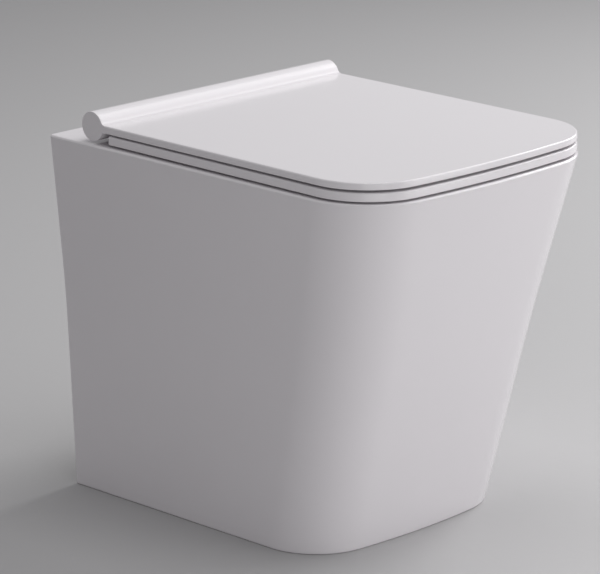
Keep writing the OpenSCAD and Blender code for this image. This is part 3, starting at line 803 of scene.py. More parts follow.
GLAZE = Glaze("white_glaze", (0.81, 0.782, 0.806), 0.08, (0.79, 0.764, 0.788), "ceramic")
BISQUE = Moulded("unglazed_body", (0.72, 0.69, 0.64), 0.75, (0.62, 0.58, 0.52), "ceramic", 0.12, 420.0)
THERMOSET = Moulded("gloss_thermoset", (0.81, 0.782, 0.806), 0.14, (0.795, 0.77, 0.792), "seat_plastic")
CHROME = Metal("polished_chrome", (0.86, 0.87, 0.88), 0.08, (0.6, 0.61, 0.63), "hinge_metal", 0.0006)
STEEL = Metal("brushed_steel", (0.58, 0.59, 0.61), 0.3, (0.42, 0.42, 0.43), "steel")
ZINC = Metal("zinc_plate", (0.62, 0.64, 0.66), 0.34, (0.44, 0.45, 0.42), "zinc_steel", 0.006, 900.0)
BRASS = Metal("turned_brass", (0.72, 0.52, 0.2), 0.26, (0.45, 0.3, 0.12), "wedge_brass")
DAMPER = Moulded("damper_black", (0.03, 0.03, 0.033), 0.45, (0.05, 0.05, 0.055), "damper_plastic", 0.02)
BUSH = Moulded("bush_grey", (0.05, 0.05, 0.055), 0.5, (0.075, 0.075, 0.08), "bush_plastic", 0.02)
ROTOR = Moulded("rotor_natural", (0.62, 0.58, 0.46), 0.4, (0.54, 0.5, 0.4), "rotor_plastic", 0.02)
BUTTON = Moulded("button_grey", (0.46, 0.47, 0.49), 0.42, (0.4, 0.41, 0.43), "button_plastic", 0.03)
PLUG = Rubber("plug_rubber", (0.03, 0.03, 0.032), 0.7, (0.1, 0.1, 0.1), "plug_rubber")
BUFFER = Rubber("buffer_rubber", (0.7, 0.7, 0.69), 0.55, (0.6, 0.6, 0.585), "buffer_rubber")
WASHER = Moulded("washer_nylon", (0.66, 0.64, 0.58), 0.45, (0.58, 0.56, 0.5), "washer_plastic", 0.03)
SEAL = Rubber("seal_rubber", (0.02, 0.02, 0.022), 0.62, (0.08, 0.08, 0.085), "seal_rubber")
FLOOR = Finish("pale_floor", (0.47, 0.465, 0.47), 0.75)


# ---------------------------------------------------------------- finished pieces


def finished(name: str, solid: Solid, body: Body, node: str, *finishes: Finish) -> None:
    """Turns a shape into a finished piece of the toilet.

    Args:
        name: The piece's name.
        solid: Its shape in millimetres, which is used up.
        body: The body that it rides on.
        node: The CAD node that it replaces.
        finishes: Its materials in order.
    """
    solid.moved(Matrix.Translation((0, WALL_Y * MM, 0)) @ Matrix.Scale(MM, 4))
    for face in solid.bm.faces:
        face.smooth = True
    piece = solid.placed(name)
    for finish in finishes:
        piece.data.materials.append(finish.material())
    piece.data.set_sharp_from_angle(angle=SMOOTH_BELOW)
    lean = piece.modifiers.new("even_normals", "WEIGHTED_NORMAL")
    lean.keep_sharp = True
    lean.weight = LEAN
    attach(piece, body.value)
    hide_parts(node)
    low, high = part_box(node)
    ends = [(min(c[i] for c in piece.bound_box), max(c[i] for c in piece.bound_box)) for i in range(3)]
    proud = [d / MM for i, (a, b) in enumerate(ends) for d in (low[i] - a, b - high[i])]
    faces = len(piece.data.polygons)
    LOG.info("%s: %d faces, %.2f mm proud, %.2f mm short", name, faces, max(proud), -min(proud))


def finished_pair(name: str, right: Solid, node: str, finish: Finish) -> None:
    """Finishes two like pieces that stay on the pan, from the shape of the right one."""
    finished(f"{name}_pair", right.doubled(), Body.PAN, node, finish)


@dataclass
class Hinge:
    """Places that the pan, seat, lid and hinge pieces share."""

    hole_pitch: float = 155.0
    axis_y: float = 61.5
    axis_z: float = 423.5
    deck_z: float = 405.0
    post_w: float = 19.0
    pass_gap: float = 0.4
    lug_w: float = 44.0
    damper_r: float = 8.5
    damper_l: float = 40.0
    shaft_r: float = 4.0
    flat_t: float = 1.2
    key_w: float = 3.0
    key_h: float = 1.2

    @property
    def hole_x(self) -> float:
        """Distance of a seat hole from the middle plane."""
        return self.hole_pitch / 2

    @property
    def post_in(self) -> float:
        """Inner face of a post."""
        return self.hole_x - self.post_w / 2

    @property
    def post_out(self) -> float:
        """Outer face of a post."""
        return self.hole_x + self.post_w / 2

    @property
    def lug_in(self) -> float:
        """Inner face of a lug of the seat."""
        return self.post_out + self.pass_gap

    @property
    def lug_out(self) -> float:
        """Outer face of a lug of the seat."""
        return self.lug_in + self.lug_w

    @property
    def lid_in(self) -> float:
        """Inner end of a slot in the lid's roll."""
        return self.post_in - self.pass_gap

    @property
    def lid_out(self) -> float:
        """Outer end of a slot in the lid's roll."""
        return self.lug_out + self.pass_gap

    def bar(self, x0: float, x1: float, r: float, steps: int = FINE) -> Solid:
        """A round bar on the hinge axis, from x0 to x1."""
        return Solid().rod((x0, -self.axis_y, self.axis_z), (x1, -self.axis_y, self.axis_z), r, steps)

    def bore(self, x0: float, x1: float) -> list[Solid]:
        """The cuts for a damper or a bush: a round bore and the groove along its top.

        Args:
            x0: One end, on either side of the toilet.
            x1: The other end.

        Returns:
            The two cuts.
        """
        (a, b), half = sorted((x0, x1)), self.key_w / 2
        top = self.axis_z + self.damper_r + self.key_h
        key = Solid().block((a, -self.axis_y - half, self.axis_z), (b, -self.axis_y + half, top))
        return [self.bar(a, b, self.damper_r, MEDIUM), key]

    def pin(self, low: float, high: float, r: float, steps: int = MEDIUM) -> Solid:
        """An upright round bar on the middle of the right seat hole."""
        return Solid().pin(self.hole_x, -self.axis_y, (low, high), r, steps)

    def at_hole(self, solid: Solid, z: float = 0.0) -> Solid:
        """Moves a shape from the Z axis to the middle of the right seat hole."""
        return solid.shifted(self.hole_x, -self.axis_y, z)


@dataclass
class Pan:
    """The ceramic pan: skirt, rim, deck, bowl, trapway, outlet, horn and clamp ledges in one casting."""

    hinge: Hinge
    height: float = 405.0
    base: Outline = Outline(159.0, 153.0, 376.0, 13.5, 72.0, 0.0, 2.0)
    rim: Outline = Outline(187.0, 184.5, 480.0, 13.5, 84.0, 0.0, 2.0)
    low_slope: float = 0.00161
    flare_slope: float = 0.00196
    flare_z: float = 228.0
    flare_soft: float = 20.0
    rim_edge_r: float = 2.8
    foot_r: float = 2.2
    skirt_z: tuple[int, ...] = (20, 50, 80, 110, 135, 155, 175, 190, 205, 225, 245, 265, 290, 320, 350, 380)
    hollow_z: tuple[int, ...] = (40, 80, 120, 160, 190, 220, 260, 300, 340)
    wall: float = 11.0
    wall_taper: float = 5.0
    deck_t: float = 12.0
    opening: Outline = Outline(122.0, 122.0, 431.0, 24.0, 104.0, 128.0, 55.0)
    knee: Outline = Outline(88.0, 88.0, 404.0, 20.0, 80.0, 240.0, 60.0)
    knee_z: float = 290.0
    waist_z: float = 253.0
    waist_y: float = 326.5
    waist_r: float = 64.0
    swell: tuple[Triple, ...] = ((305.0, 0.24, 0.5), (325.0, 0.5, 0.8), (345.0, 0.77, 0.3))
    throat: float = 45.0
    lip_r: float = 4.0
    bowl_t: float = 10.0
    sump: tuple[Triple, ...] = (
        (102.0, 289.0, 15.0), (106.0, 289.0, 22.0), (114.0, 289.0, 27.0), (136.0, 302.0, 31.5),
        (158.0, 316.0, 36.0), (183.0, 324.0, 44.0), (208.0, 331.0, 51.0), (222.0, 330.0, 55.0),
    )
    sump_wall: tuple[Triple, ...] = (
        (92.0, 289.0, 26.0), (98.0, 289.0, 34.0), (114.0, 291.0, 38.0), (158.0, 316.0, 46.0),
        (208.0, 332.0, 62.0),
    )
    shelf_z: float = 267.0
    shelf_rear: float = 168.0
    shelf_r: float = 60.0
    trap_r: float = 28.0
    trap_t: float = 9.0
    water_z: float = 208.0
    seal: float = 50.0
    lead_in: float = 20.0
    rise_y: float = 273.0
    rise_r: float = 42.0
    weir_r: float = 38.5
    rise_a: float = math.radians(75)
    ties: tuple[Pair, ...] = ((183.1, 196.5), (273.0, 172.0))
    tie_x: float = 26.0
    tie_r: float = 15.0
    drop_y: float = -144.6
    outlet_z: float = 180.0
    outlet_r: float = 51.0
    outlet_bore_r: float = 42.0
    outlet_back: float = 60.0
    inlet_z: float = 335.0
    inlet_r: float = 37.0
    inlet_bore_r: float = 27.5
    inlet_back: float = 42.0
    inlet_front: float = 188.0
    inlet_bore_front: float = 120.0
    flush_ways: tuple[Triple, ...] = ((23.5, 112.0, 148.0), (45.0, 142.0, 198.0))
    flush_h: float = 20.0
    flush_edge: float = 4.0
    ledge_z: float = 134.0
    ledge_t: float = 12.0
    ledge_in: float = 60.0
    ledge_x: float = 160.0
    ledge_rear: float = 29.5
    slot_r: float = 5.0
    web_ahead: float = 12.0
    web_back: float = 116.0
    web_top: float = 260.0
    seat_hole_r: float = 7.6
    seat_hole_l: float = 13.0

    @property
    def waist(self) -> Outline:
        """The outline between the round sump and the bowl's knee."""
        return round_outline(self.waist_y, self.waist_r).towards(self.knee, 0.5)

    @property
    def web_y(self) -> float:
        """Front face of the cross web."""
        return self.drop_y + self.web_ahead

    def skin(self, z: float, d: float = 0.0) -> Outline:
        """The outline of the pan's outside: its sides nearly straight below, steeper above and softly joined.

        Args:
            z: The height.
            d: How far it is grown.

        Returns:
            The outline, with its rear edge kept on the wall.
        """
        z = max(z, 0.0)
        soft = self.flare_soft * math.log1p(math.exp((z - self.flare_z) / self.flare_soft))
        wide = self.base.towards(self.rim, min(self.low_slope * z + self.flare_slope * soft, 1.0))
        straight = self.base.towards(self.rim, min(z / self.height, 1.0))
        mixed = replace(straight, rear_hw=wide.rear_hw, front_hw=wide.front_hw).grown(d)
        return replace(mixed, rear=0.0, rear_r=self.base.rear_r)

    def outside(self) -> Solid:
        """The closed outer form with its rounded rim and foot.

        Returns:
            The form.
        """
        foot, r, edge = self.foot_r, self.rim_edge_r, self.height - self.rim_edge_r
        levels = [(foot * (1 - math.cos(a)), self.skin(0, -foot * (1 - math.sin(a)))) for a in ROUNDING[::2]]
        levels += [(z, self.skin(z)) for z in (*self.skirt_z, edge)]
        for a in ROUNDING[1:]:
            levels.append((edge + r * math.sin(a), self.skin(self.height, -r * (1 - math.cos(a)))))
        return Solid().loft(levels)

    def skirt_space(self) -> Solid:
        """The hollow inside the skirt, open at the floor and at the wall.

        Returns:
            The hollow, painted as unglazed.
        """
        levels = []
        for z in (-OVER, *self.hollow_z, self.height - self.deck_t):
            inner = self.skin(z, -self.wall - self.wall_taper * max(z, 0) / self.height)
            levels.append((z, replace(inner, rear=-10.0, rear_r=1.0)))
        return Solid().loft(levels).painted(BARE)

    def bowl_space(self) -> Solid:
        """The bowl's inside, from the foot of the sump to the softly rounded lip at the rim.

        Returns:
            The space.
        """
        top, r = self.opening, self.lip_r
        levels = [(z, round_outline(y, radius)) for z, y, radius in self.sump]
        levels += [(self.waist_z, self.waist), (277.0, self.knee.grown(-2.5)), (self.knee_z, self.knee)]
        for z, share, bulge in self.swell:
            levels.append((z, self.knee.towards(top, share).grown(bulge)))
        levels += [(self.height - self.throat, top.grown(-1.4)), (380.0, top.grown(-0.6))]
        levels.append((self.height - r - 4, top))
        levels += [(self.height - r + r * math.sin(a), top.grown(r * (1 - math.cos(a)))) for a in ROUNDING]
        return Solid().loft([*levels, (self.height + OVER, top.grown(r + 0.02))])

    def bowl_body(self) -> Solid:
        """The bowl's outside, cut away under the shelf behind it.

        Returns:
            The outside.
        """
        t, rim = self.bowl_t, self.opening.grown(self.bowl_t)
        shelf = replace(self.knee.grown(12), rear=self.shelf_rear, rear_r=self.shelf_r)
        levels = [(z, round_outline(y, r)) for z, y, r in self.sump_wall]
        levels += [(self.waist_z, self.waist.grown(t)), (self.knee_z, shelf)]
        levels += [(self.height - self.throat, rim), (self.height - self.deck_t + OVER, rim)]
        behind = Solid().block((-190, -230, 0), (190, 250, self.shelf_z))
        return combined(Solid().loft(levels), cut=[behind])

    def tube(self, r: float) -> Solid:
        """The trapway as one swept tube: in from the sump, up the riser, over the weir and down.

        Args:
            r: Its radius.

        Returns:
            The tube, closed at both ends.
        """
        s, c = math.sin(self.rise_a), math.cos(self.rise_a)
        low, high = self.water_z - self.seal - self.trap_r, self.water_z + self.trap_r - OVER
        foot = Vector((0, -self.rise_y + self.rise_r * s, low + self.rise_r - self.rise_r * c))
        run = Vector((0, c, s)) * ((high - self.weir_r + self.weir_r * c - foot.z) / s)
        weir = foot + run + Vector((0, s, -c)) * self.weir_r
        tube = Solid()
        mouth = Matrix.Translation((0, -self.rise_y - self.lead_in, low)) @ Matrix.Rotation(QUARTER, 4, "X")
        circle = bmesh.ops.create_circle(tube.bm, cap_ends=False, segments=COARSE, radius=r, matrix=mouth)
        start = list(dict.fromkeys(e for v in circle["verts"] for e in v.link_edges))
        end = tube.push(start, (0, self.lead_in, 0))
        end = tube.bend(end, (0, -self.rise_y, low + self.rise_r), self.rise_a, 12)
        end = tube.push(end, run)
        end = tube.bend(end, weir, -(QUARTER + self.rise_a), 24)
        end = tube.push(end, (0, 0, self.outlet_z - weir.z))
        for edges in (start, end):
            bmesh.ops.contextual_create(tube.bm, geom=edges)
        return tube.outwards()

    def pipe(self, y0: float, y1: float, z: float, r: float) -> Solid:
        """A round bar in the middle plane, towards the wall."""
        return Solid().rod((0, y0, z), (0, y1, z), r)

    def chamber(self, r: float) -> Solid:
        """The round chamber at the foot of the drop pipe."""
        return self.pipe(self.drop_y - r + self.web_ahead, self.web_y + OVER, self.outlet_z, r)

    def ledge(self) -> Solid:
        """One clamp ledge with its slot, on the right.

        Returns:
            The ledge.
        """
        h, r, y = self.hinge, self.slot_r, -self.hinge.axis_y
        low, high = self.ledge_z - self.ledge_t, self.ledge_z
        plate = Solid().block((self.ledge_in, self.web_y, low), (self.ledge_x, -self.ledge_rear, high))
        way = Solid().block((h.hole_x - r, y, low - OVER), (h.hole_x + r, 0, high + OVER))
        return combined(plate, cut=[h.pin(low - OVER, high + OVER, r), way])

    def build(self) -> None:
        """Makes the pan."""
        h, web, floor = self.hinge, self.web_y, self.inlet_z + 1
        low = self.ledge_z - self.ledge_t
        joined = [
            self.bowl_body(), self.tube(self.trap_r + self.trap_t), self.chamber(self.outlet_r - 2),
            self.pipe(web, -self.outlet_back, self.outlet_z, self.outlet_r),
            self.pipe(-self.inlet_front, -self.inlet_back, self.inlet_z, self.inlet_r), self.ledge().doubled(),
            Solid().block((-self.ledge_x, web, low), (self.ledge_x, -self.web_back, self.web_top)),
            *(Solid().rod((-self.tie_x, -y, z), (self.tie_x, -y, z), self.tie_r) for y, z in self.ties),
        ]
        for solid in joined:
            solid.painted(BARE)
        cut = [
            self.bowl_space(), self.tube(self.trap_r), self.chamber(self.outlet_bore_r - 2),
            self.pipe(web, -self.outlet_back + OVER, self.outlet_z, self.outlet_bore_r),
            self.pipe(-self.inlet_bore_front, -self.inlet_back + OVER, self.inlet_z, self.inlet_bore_r),
        ]
        for half, rear, front in self.flush_ways:
            way = Solid().block((-half, -front, floor), (half, -rear, floor + self.flush_h))
            cut.append(way.bevel(self.flush_edge))
        hole = (h.deck_z - self.seat_hole_l, h.deck_z + OVER)
        cut += [Solid().pin(s * h.hole_x, -h.axis_y, hole, self.seat_hole_r, COARSE) for s in SIGNS]
        shell = combined(self.outside(), cut=[self.skirt_space()])
        finished("ceramic_pan", combined(shell, joined, cut), Body.PAN, "pan", GLAZE, BISQUE)


@dataclass
class Cover:
    """Sizes that the seat and the lid share: the D-shaped plan and the round of their edges."""

    plan: Outline = Outline(180.5, 180.5, 477.3, 13.3, 75.0, 86.0, 3.0)
    edge_r: float = 1.8

    def plate(self, low: float, high: float, rear: float) -> Solid:
        """A D-shaped plate with rounded edges, by its faces and its rear edge's distance from the wall."""
        levels = rounded(low, high, replace(self.plan, rear=rear), -self.edge_r)
        return Solid().loft([(z, replace(o, rear=rear, rear_r=3.0)) for z, o in levels])


@dataclass
class Seat:
    """The seat ring with its two hinge lugs."""

    hinge: Hinge
    cover: Cover
    low: float = 407.0
    thick: float = 9.6
    opening: Outline = Outline(114.0, 114.0, 414.0, 24.0, 98.0, 148.0, 55.0)
    opening_r: float = 3.0
    lug_r: float = 12.0
    lug_front: float = 94.0
    lug_web: Pair = (0.4, 9.0)
    buffers: tuple[Pair, ...] = ((148.0, 118.0), (118.0, 408.0))
    buffer_r: float = 9.0
    buffer_sink: float = 3.0

    def build(self) -> None:
        """Makes the seat ring, whose opening is flared at both faces so that its inner edge is round."""
        h, r, top = self.hinge, self.opening_r, self.low + self.thick
        wide = self.opening.grown(r)
        flare = rounded(self.low, top, self.opening, r)
        joined, cut = [], [Solid().loft([(self.low - OVER, wide), *flare, (top + OVER, wide)])]
        for side in SIGNS:
            x0, x1 = sorted((side * h.lug_in, side * h.lug_out))
            joined.append(h.bar(x0, x1, self.lug_r).bevel(1.0))
            z0, z1 = (self.low + z for z in self.lug_web)
            joined.append(Solid().block((x0, -self.lug_front, z0), (x1, -h.axis_y + 3, z1)))
            cut += h.bore(side * (h.lug_in - OVER), side * (h.lug_out - 3))
            for x, y in self.buffers:
                ends = (self.low - OVER, self.low + self.buffer_sink)
                cut.append(Solid().pin(side * x, -y, ends, self.buffer_r + 0.02))
        ring = combined(self.cover.plate(self.low, top, self.cover.plan.rear), joined, cut)
        finished("seat_ring", ring, Body.SEAT, "seat", THERMOSET)


@dataclass
class Lid:
    """The lid: a D-shaped plate that grows out of a full-width roll over the hinges."""

    hinge: Hinge
    cover: Cover
    low: float = 418.4
    thick: float = 8.6
    front_rise: float = 0.9
    roll_r: float = 16.0
    roll_t: float = 3.2
    blend_r: float = 6.0
    roll_end_r: float = 1.2
    recess: float = 3.3
    recess_steps: tuple[Pair, ...] = ((1.5, 0.0), (0.45, 0.45), (0.0, 1.5))
    border: float = 14.0
    open_angle: float = 95.0
    foot_d: float = 16.0

    def roll(self) -> Solid:
        """The roll with its concave blend into the plate, rounded at its two ends.

        Returns:
            The roll.
        """
        h, half = self.hinge, self.cover.plan.front_hw
        rise, span = self.low + self.thick - h.axis_z, self.roll_r + self.blend_r
        blend, under = math.asin((rise + self.blend_r) / span), math.asin((h.axis_z - self.low) / self.roll_r)
        y = -span * math.cos(blend)
        roll = Solid()
        start = roll.bm.verts.new((y, rise, 0))
        vert = roll.arc(start, (y, rise + self.blend_r, 0), QUARTER - blend, 10)
        vert = roll.arc(vert, (0, 0, 0), -(2 * math.pi - blend - under), FINE)
        roll.raised(start, roll.line(vert, (y, self.low - h.axis_z, 0)), 2 * half)
        ends = [
            e for e in roll.bm.edges
            if abs(e.verts[0].co.z - e.verts[1].co.z) < LEVEL and e.calc_face_angle(0.0) > 1.0
        ]
        return roll.bevel(self.roll_end_r, 4, ends).moved(section_along_x(-half, -h.axis_y, h.axis_z))

    def slot(self) -> Solid:
        """The cut that clears a post and a lug as the lid turns, on the right.

        Returns:
            The cut.
        """
        h, shell, far = self.hinge, self.roll_r - self.roll_t, self.roll_r + 2
        sweep = math.radians(self.open_angle) + math.asin((self.foot_d / 2 + 0.3) / shell)
        wedge = Solid()
        middle = wedge.bm.verts.new((0, 0, 0))
        vert = wedge.arc(wedge.line(middle, (0, -far, 0)), (0, 0, 0), sweep, 24)
        wedge.raised(middle, vert, h.lid_out - h.lid_in).moved(section_along_x(h.lid_in, -h.axis_y, h.axis_z))
        y = -self.cover.plan.rear + 4
        front = Solid().block((h.lid_in, y, h.axis_z - far), (h.lid_out, -h.axis_y, self.low))
        return combined(h.bar(h.lid_in, h.lid_out, shell), [wedge, front])

    def plate(self) -> Solid:
        """The plate, whose underside rises slightly to the front, where the gap over the seat is wider.

        Returns:
            The plate.
        """
        plate = self.cover.plate(self.low, self.low + self.thick, self.hinge.axis_y)
        for vert in plate.bm.verts:
            if vert.co.z < self.low + self.thick / 2:
                vert.co.z += self.front_rise * (-vert.co.y - self.hinge.axis_y) / self.cover.plan.front
        return plate

    def build(self) -> None:
        """Makes the lid."""
        h, plan, top = self.hinge, self.cover.plan, self.low + self.recess
        inner = replace(plan.grown(-self.border), rear=plan.rear + 12, rear_r=8.0)
        levels = [(top - down, inner.grown(-draw)) for down, draw in self.recess_steps]
        recess = Solid().loft([(self.low - OVER, inner), *levels])
        slot = self.slot()
        cut = [recess, slot, slot.mirrored()]
        for side in SIGNS:
            cut += h.bore(side * (h.lid_in - h.damper_l - 4), side * (h.lid_in + OVER))
        finished("lid_with_roll", combined(self.plate(), [self.roll()], cut), Body.LID, "lid", THERMOSET)


@dataclass
class HingeSet:
    """Posts, shafts, release buttons, dampers, bushes and the blind fixing of the seat hinge."""

    hinge: Hinge
    foot_d: float = 16.0
    base_t: float = 2.0
    base_d: float = 30.0
    base_r: float = 3.0
    post_r: float = 12.0
    post_edge: float = 0.8
    latch_z: float = 409.4
    latch_t: float = 1.5
    latch_w: float = 13.0
    latch_way: float = 16.0
    pad_w: float = 15.0
    pad_t: float = 2.6
    pad_z: float = -1.8
    ridges: tuple[float, ...] = (-5.0, -2.5, 0.0, 2.5, 5.0)
    travel: float = 5.0
    stud_r: float = 4.0
    stud_l: float = 7.6
    head_l: float = 7.0
    key_r: float = 2.3
    flange_r: float = 6.0
    flange_t: float = 2.0
    neck_r: float = 2.75
    bolt_r: float = 3.0
    bolt_l: float = 46.0
    plug_l: float = 28.0
    rib_pitch: float = 2.4
    rib: tuple[Pair, ...] = ((0.35, 0.0), (0.0, 0.35), (0.0, 1.25), (0.35, 1.6), (0.55, 1.8), (0.55, 2.2))
    nut_h: float = 10.0
    hole_r: float = 7.6

    def post(self) -> Solid:
        """The right hinge post with its bore, stud socket and latch slot.

        Returns:
            The post.
        """
        h, low, y = self.hinge, self.hinge.deck_z + self.base_t, -self.hinge.axis_y
        half, way, edge = self.foot_d / 2, self.latch_way, self.post_edge
        head = h.bar(h.post_in, h.post_out, self.post_r).bevel(edge)
        foot = Solid().block((h.post_in, y - half, low), (h.post_out, y + half, h.axis_z))
        flat_z = h.axis_z + h.shaft_r - h.flat_t + 0.05
        flat = Solid().block((h.post_in - 3, y - 6, flat_z), (h.post_out + 3, y + 6, h.axis_z + 8))
        latch_way = Solid().block(
            (h.hole_x - self.latch_w / 2 - PLAY, y - way, self.latch_z - PLAY),
            (h.hole_x + self.latch_w / 2 + PLAY, y + way, self.latch_z + self.latch_t + PLAY),
        )
        return combined(head, [foot.bevel(edge)], [
            combined(h.bar(h.post_in - OVER, h.post_out + OVER, h.shaft_r + 0.05, MEDIUM), cut=[flat]),
            h.pin(low - OVER, low + self.flange_t + PLAY, self.flange_r + 0.3),
            h.pin(low - OVER, low + self.stud_l, self.stud_r + 0.3), latch_way,
        ])

    def button(self) -> Solid:
        """The right release button: a keyhole latch plate with a ridged finger pad.

        Returns:
            The button.
        """
        half, rear, t = self.latch_w / 2, self.foot_d / 2 + self.travel + 0.3, self.latch_t
        plate = Solid().block((-half, -self.foot_d / 2 + 0.5, 0), (half, rear + 0.5, t)).bevel(0.25, 2)
        pad = Solid().block((-self.pad_w / 2, rear, self.pad_z), (self.pad_w / 2, rear + self.pad_t, t))
        ridges = Solid()
        for x in self.ridges:
            ridge = Solid().block((x - 0.5, rear + 1.6, self.pad_z + 0.5), (x + 0.5, rear + 3, t - 0.5))
            ridges.take(ridge.bevel(0.2, 2))
        neck, ends = self.neck_r + PLAY, (-OVER, t + OVER)
        return self.hinge.at_hole(combined(plate, [pad.bevel(0.7), ridges], [
            Solid().pin(0, 0, ends, neck, COARSE),
            Solid().block((-neck, 0, -OVER), (neck, self.travel, t + OVER)),
            Solid().pin(0, self.travel, ends, self.stud_r + 0.5, COARSE),
        ]), self.latch_z)

    def shaft(self, side: Side) -> Solid:
        """One flatted shaft with chamfered ends.

        Args:
            side: The side that it is for. The left one's inner end is flat, and the right one's outer end.

        Returns:
            The shaft, as it lies on the right.
        """
        h, y = self.hinge, -self.hinge.axis_y
        x0, x1 = h.lid_in - h.damper_l + 4, h.lug_in + h.damper_l - 4
        a, b = (x0 - OVER, h.post_out) if side is Side.LEFT else (h.post_in, x1 + OVER)
        flat = Solid().block((a, y - 5, h.axis_z + h.shaft_r - h.flat_t), (b, y + 5, h.axis_z + 6))
        return combined(h.bar(x0, x1, h.shaft_r, MEDIUM).bevel(0.5, 2), cut=[flat])

    def base_plate(self) -> Solid:
        """The right base plate, with round corners and a soft edge.

        Returns:
            The plate.
        """
        half, depth = self.hinge.post_w / 2, self.base_d / 2
        plate = Solid().block((-half, -depth, 0), (half, depth, self.base_t))
        upright = [e for e in plate.bm.edges if abs(e.verts[0].co.z - e.verts[1].co.z) > 1]
        plate.bevel(self.base_r, 6, upright).bevel(0.3, 2)
        hole = Solid().pin(0, 0, (-OVER, self.base_t + OVER), self.bolt_r + PLAY, COARSE)
        return self.hinge.at_hole(combined(plate, cut=[hole]), self.hinge.deck_z)

    def stud_bolt(self) -> Solid:
        """The right stud bolt: threaded shank, flange, latch neck and a head with a hexagon socket.

        Returns:
            The bolt.
        """
        deck, low = self.hinge.deck_z, self.hinge.deck_z - self.bolt_l
        flange = deck + self.base_t
        neck, top, rim = flange + self.flange_t, flange + self.head_l, self.flange_r
        profile = [
            (AXIS_R, low), (self.bolt_r - 0.8, low), *thread(self.bolt_r, low + 0.6, deck - 4, 1.0, 0.35),
            (self.bolt_r, flange), (rim - 0.3, flange), (rim, flange + 0.3), (rim, neck - 0.3),
            (rim - 0.3, neck), (self.neck_r, neck), (self.neck_r, neck + 2.3), (self.stud_r - 0.2, neck + 2.3),
            (self.stud_r, neck + 2.5), (self.stud_r, top - 1), (self.stud_r - 1, top), (AXIS_R, top),
        ]
        socket = Solid().pin(0, 0, (top - 3, top + OVER), self.key_r, HEXAGON)
        return self.hinge.at_hole(combined(Solid().lathe(profile), cut=[socket]))

    def plug(self) -> Solid:
        """The right ribbed rubber plug.

        Returns:
            The plug.
        """
        top, r, bore = self.hinge.deck_z, self.hole_r - 0.3, self.bolt_r + PLAY
        low = top - self.plug_l
        ribs = ribbed(r, low + 0.6, top - self.rib_pitch, self.rib_pitch, self.rib)
        profile = [(bore, low), (r - 1.2, low), *ribs, (r - 0.3, top), (bore, top)]
        return self.hinge.at_hole(Solid().lathe(profile))

    def wedge_nut(self) -> Solid:
        """The right conical nut, which spreads the plug.

        Returns:
            The nut.
        """
        low, r, bore = self.hinge.deck_z - self.plug_l - self.nut_h, self.hole_r - 0.8, self.bolt_r + 0.02
        nut = Solid().lathe([
            (bore, low + 0.4), (bore + 0.4, low), (r - 0.4, low), (r, low + 0.4), (r, low + 4.6),
            (r - 0.1, low + 5), (self.bolt_r + 1.5, low + self.nut_h), (bore, low + self.nut_h),
        ])
        notches = []
        for i in range(HEXAGON):
            notch = Solid().block((r - 0.5, -0.6, low - OVER), (r + 1, 0.6, low + 4))
            notches.append(notch.moved(Matrix.Rotation(math.pi / 3 * i, 4, "Z")))
        return self.hinge.at_hole(combined(nut, cut=notches))

    def sided(self, side: Side, name: str, solid: Solid, body: Body, node: str, finish: Finish) -> None:
        """Finishes a piece that each side has, from its shape on the right."""
        solid = solid.mirrored() if side is Side.LEFT else solid
        finished(f"{side.value}_{name}", solid, body, f"{side.value}_{node}", finish)

    def keep_inner_parts(self, nodes: dict[str, Object]) -> None:
        """Gives the dampers and bushes, whose shapes are kept, their finishes.

        Args:
            nodes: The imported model's nodes.
        """
        inner = {"damper_housing": DAMPER, "damper_cap": BUSH, "damper_rotor": ROTOR, "pivot_bush": BUSH}
        for name in (f"{owner}_{part}" for owner in ("lid", "seat") for part in inner):
            finish = inner[name.split("_", 1)[1]]
            nodes[name].data.materials.clear()
            nodes[name].data.materials.append(finish.material())
            LOG.info("%s: kept with the finish %s", name, finish.name)

    def build(self, nodes: dict[str, Object]) -> None:
        """Makes every hinge piece.

        Args:
            nodes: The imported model's nodes.
        """
        for side in Side:
            self.sided(side, "post", self.post(), Body.PAN, "hinge_post", CHROME)
            self.sided(side, "button", self.button(), Body[f"{side.name}_BUTTON"], "release_button", BUTTON)
            self.sided(side, "shaft", self.shaft(side), Body.PAN, "hinge_shaft", STEEL)
        finished_pair("base_plate", self.base_plate(), "hinge_base_plates", STEEL)
        finished_pair("stud_bolt", self.stud_bolt(), "hinge_stud_bolts", STEEL)
        finished_pair("rubber_plug", self.plug(), "expanding_plugs", PLUG)
        finished_pair("wedge_nut", self.wedge_nut(), "wedge_nuts", BRASS)
        self.keep_inner_parts(nodes)


def thread(r: float, low: float, high: float, pitch: float, depth: float) -> list[Pair]:
    """The profile of a threaded length.

    Args:
        r: Outer radius.
        low: Its lower end.
        high: Its upper end.
        pitch: Distance between two crests.
        depth: Depth of the roots.

    Returns:
        Radii and heights.
    """
    points = []
    for i in range(int((high - low) / pitch)):
        z = low + i * pitch
        points += [(r - depth, z), (r - 0.06, z + pitch * 0.42), (r - 0.06, z + pitch * 0.58)]
    return [*points, (r - depth, high), (r, high + depth)]


def ribbed(r: float, low: float, high: float, pitch: float, rib: Sequence[Pair]) -> list[Pair]:
    """The profile of a ribbed length.

    Args:
        r: Outer radius.
        low: Where the first rib starts.
        high: Where no further rib starts.
        pitch: Distance between two ribs.
        rib: The points of one rib: depth below the outer radius, and height.

    Returns:
        Radii and heights.
    """
    points = []
    while low < high:
        points += [(r - depth, low + rise) for depth, rise in rib]
        low += pitch
    return points


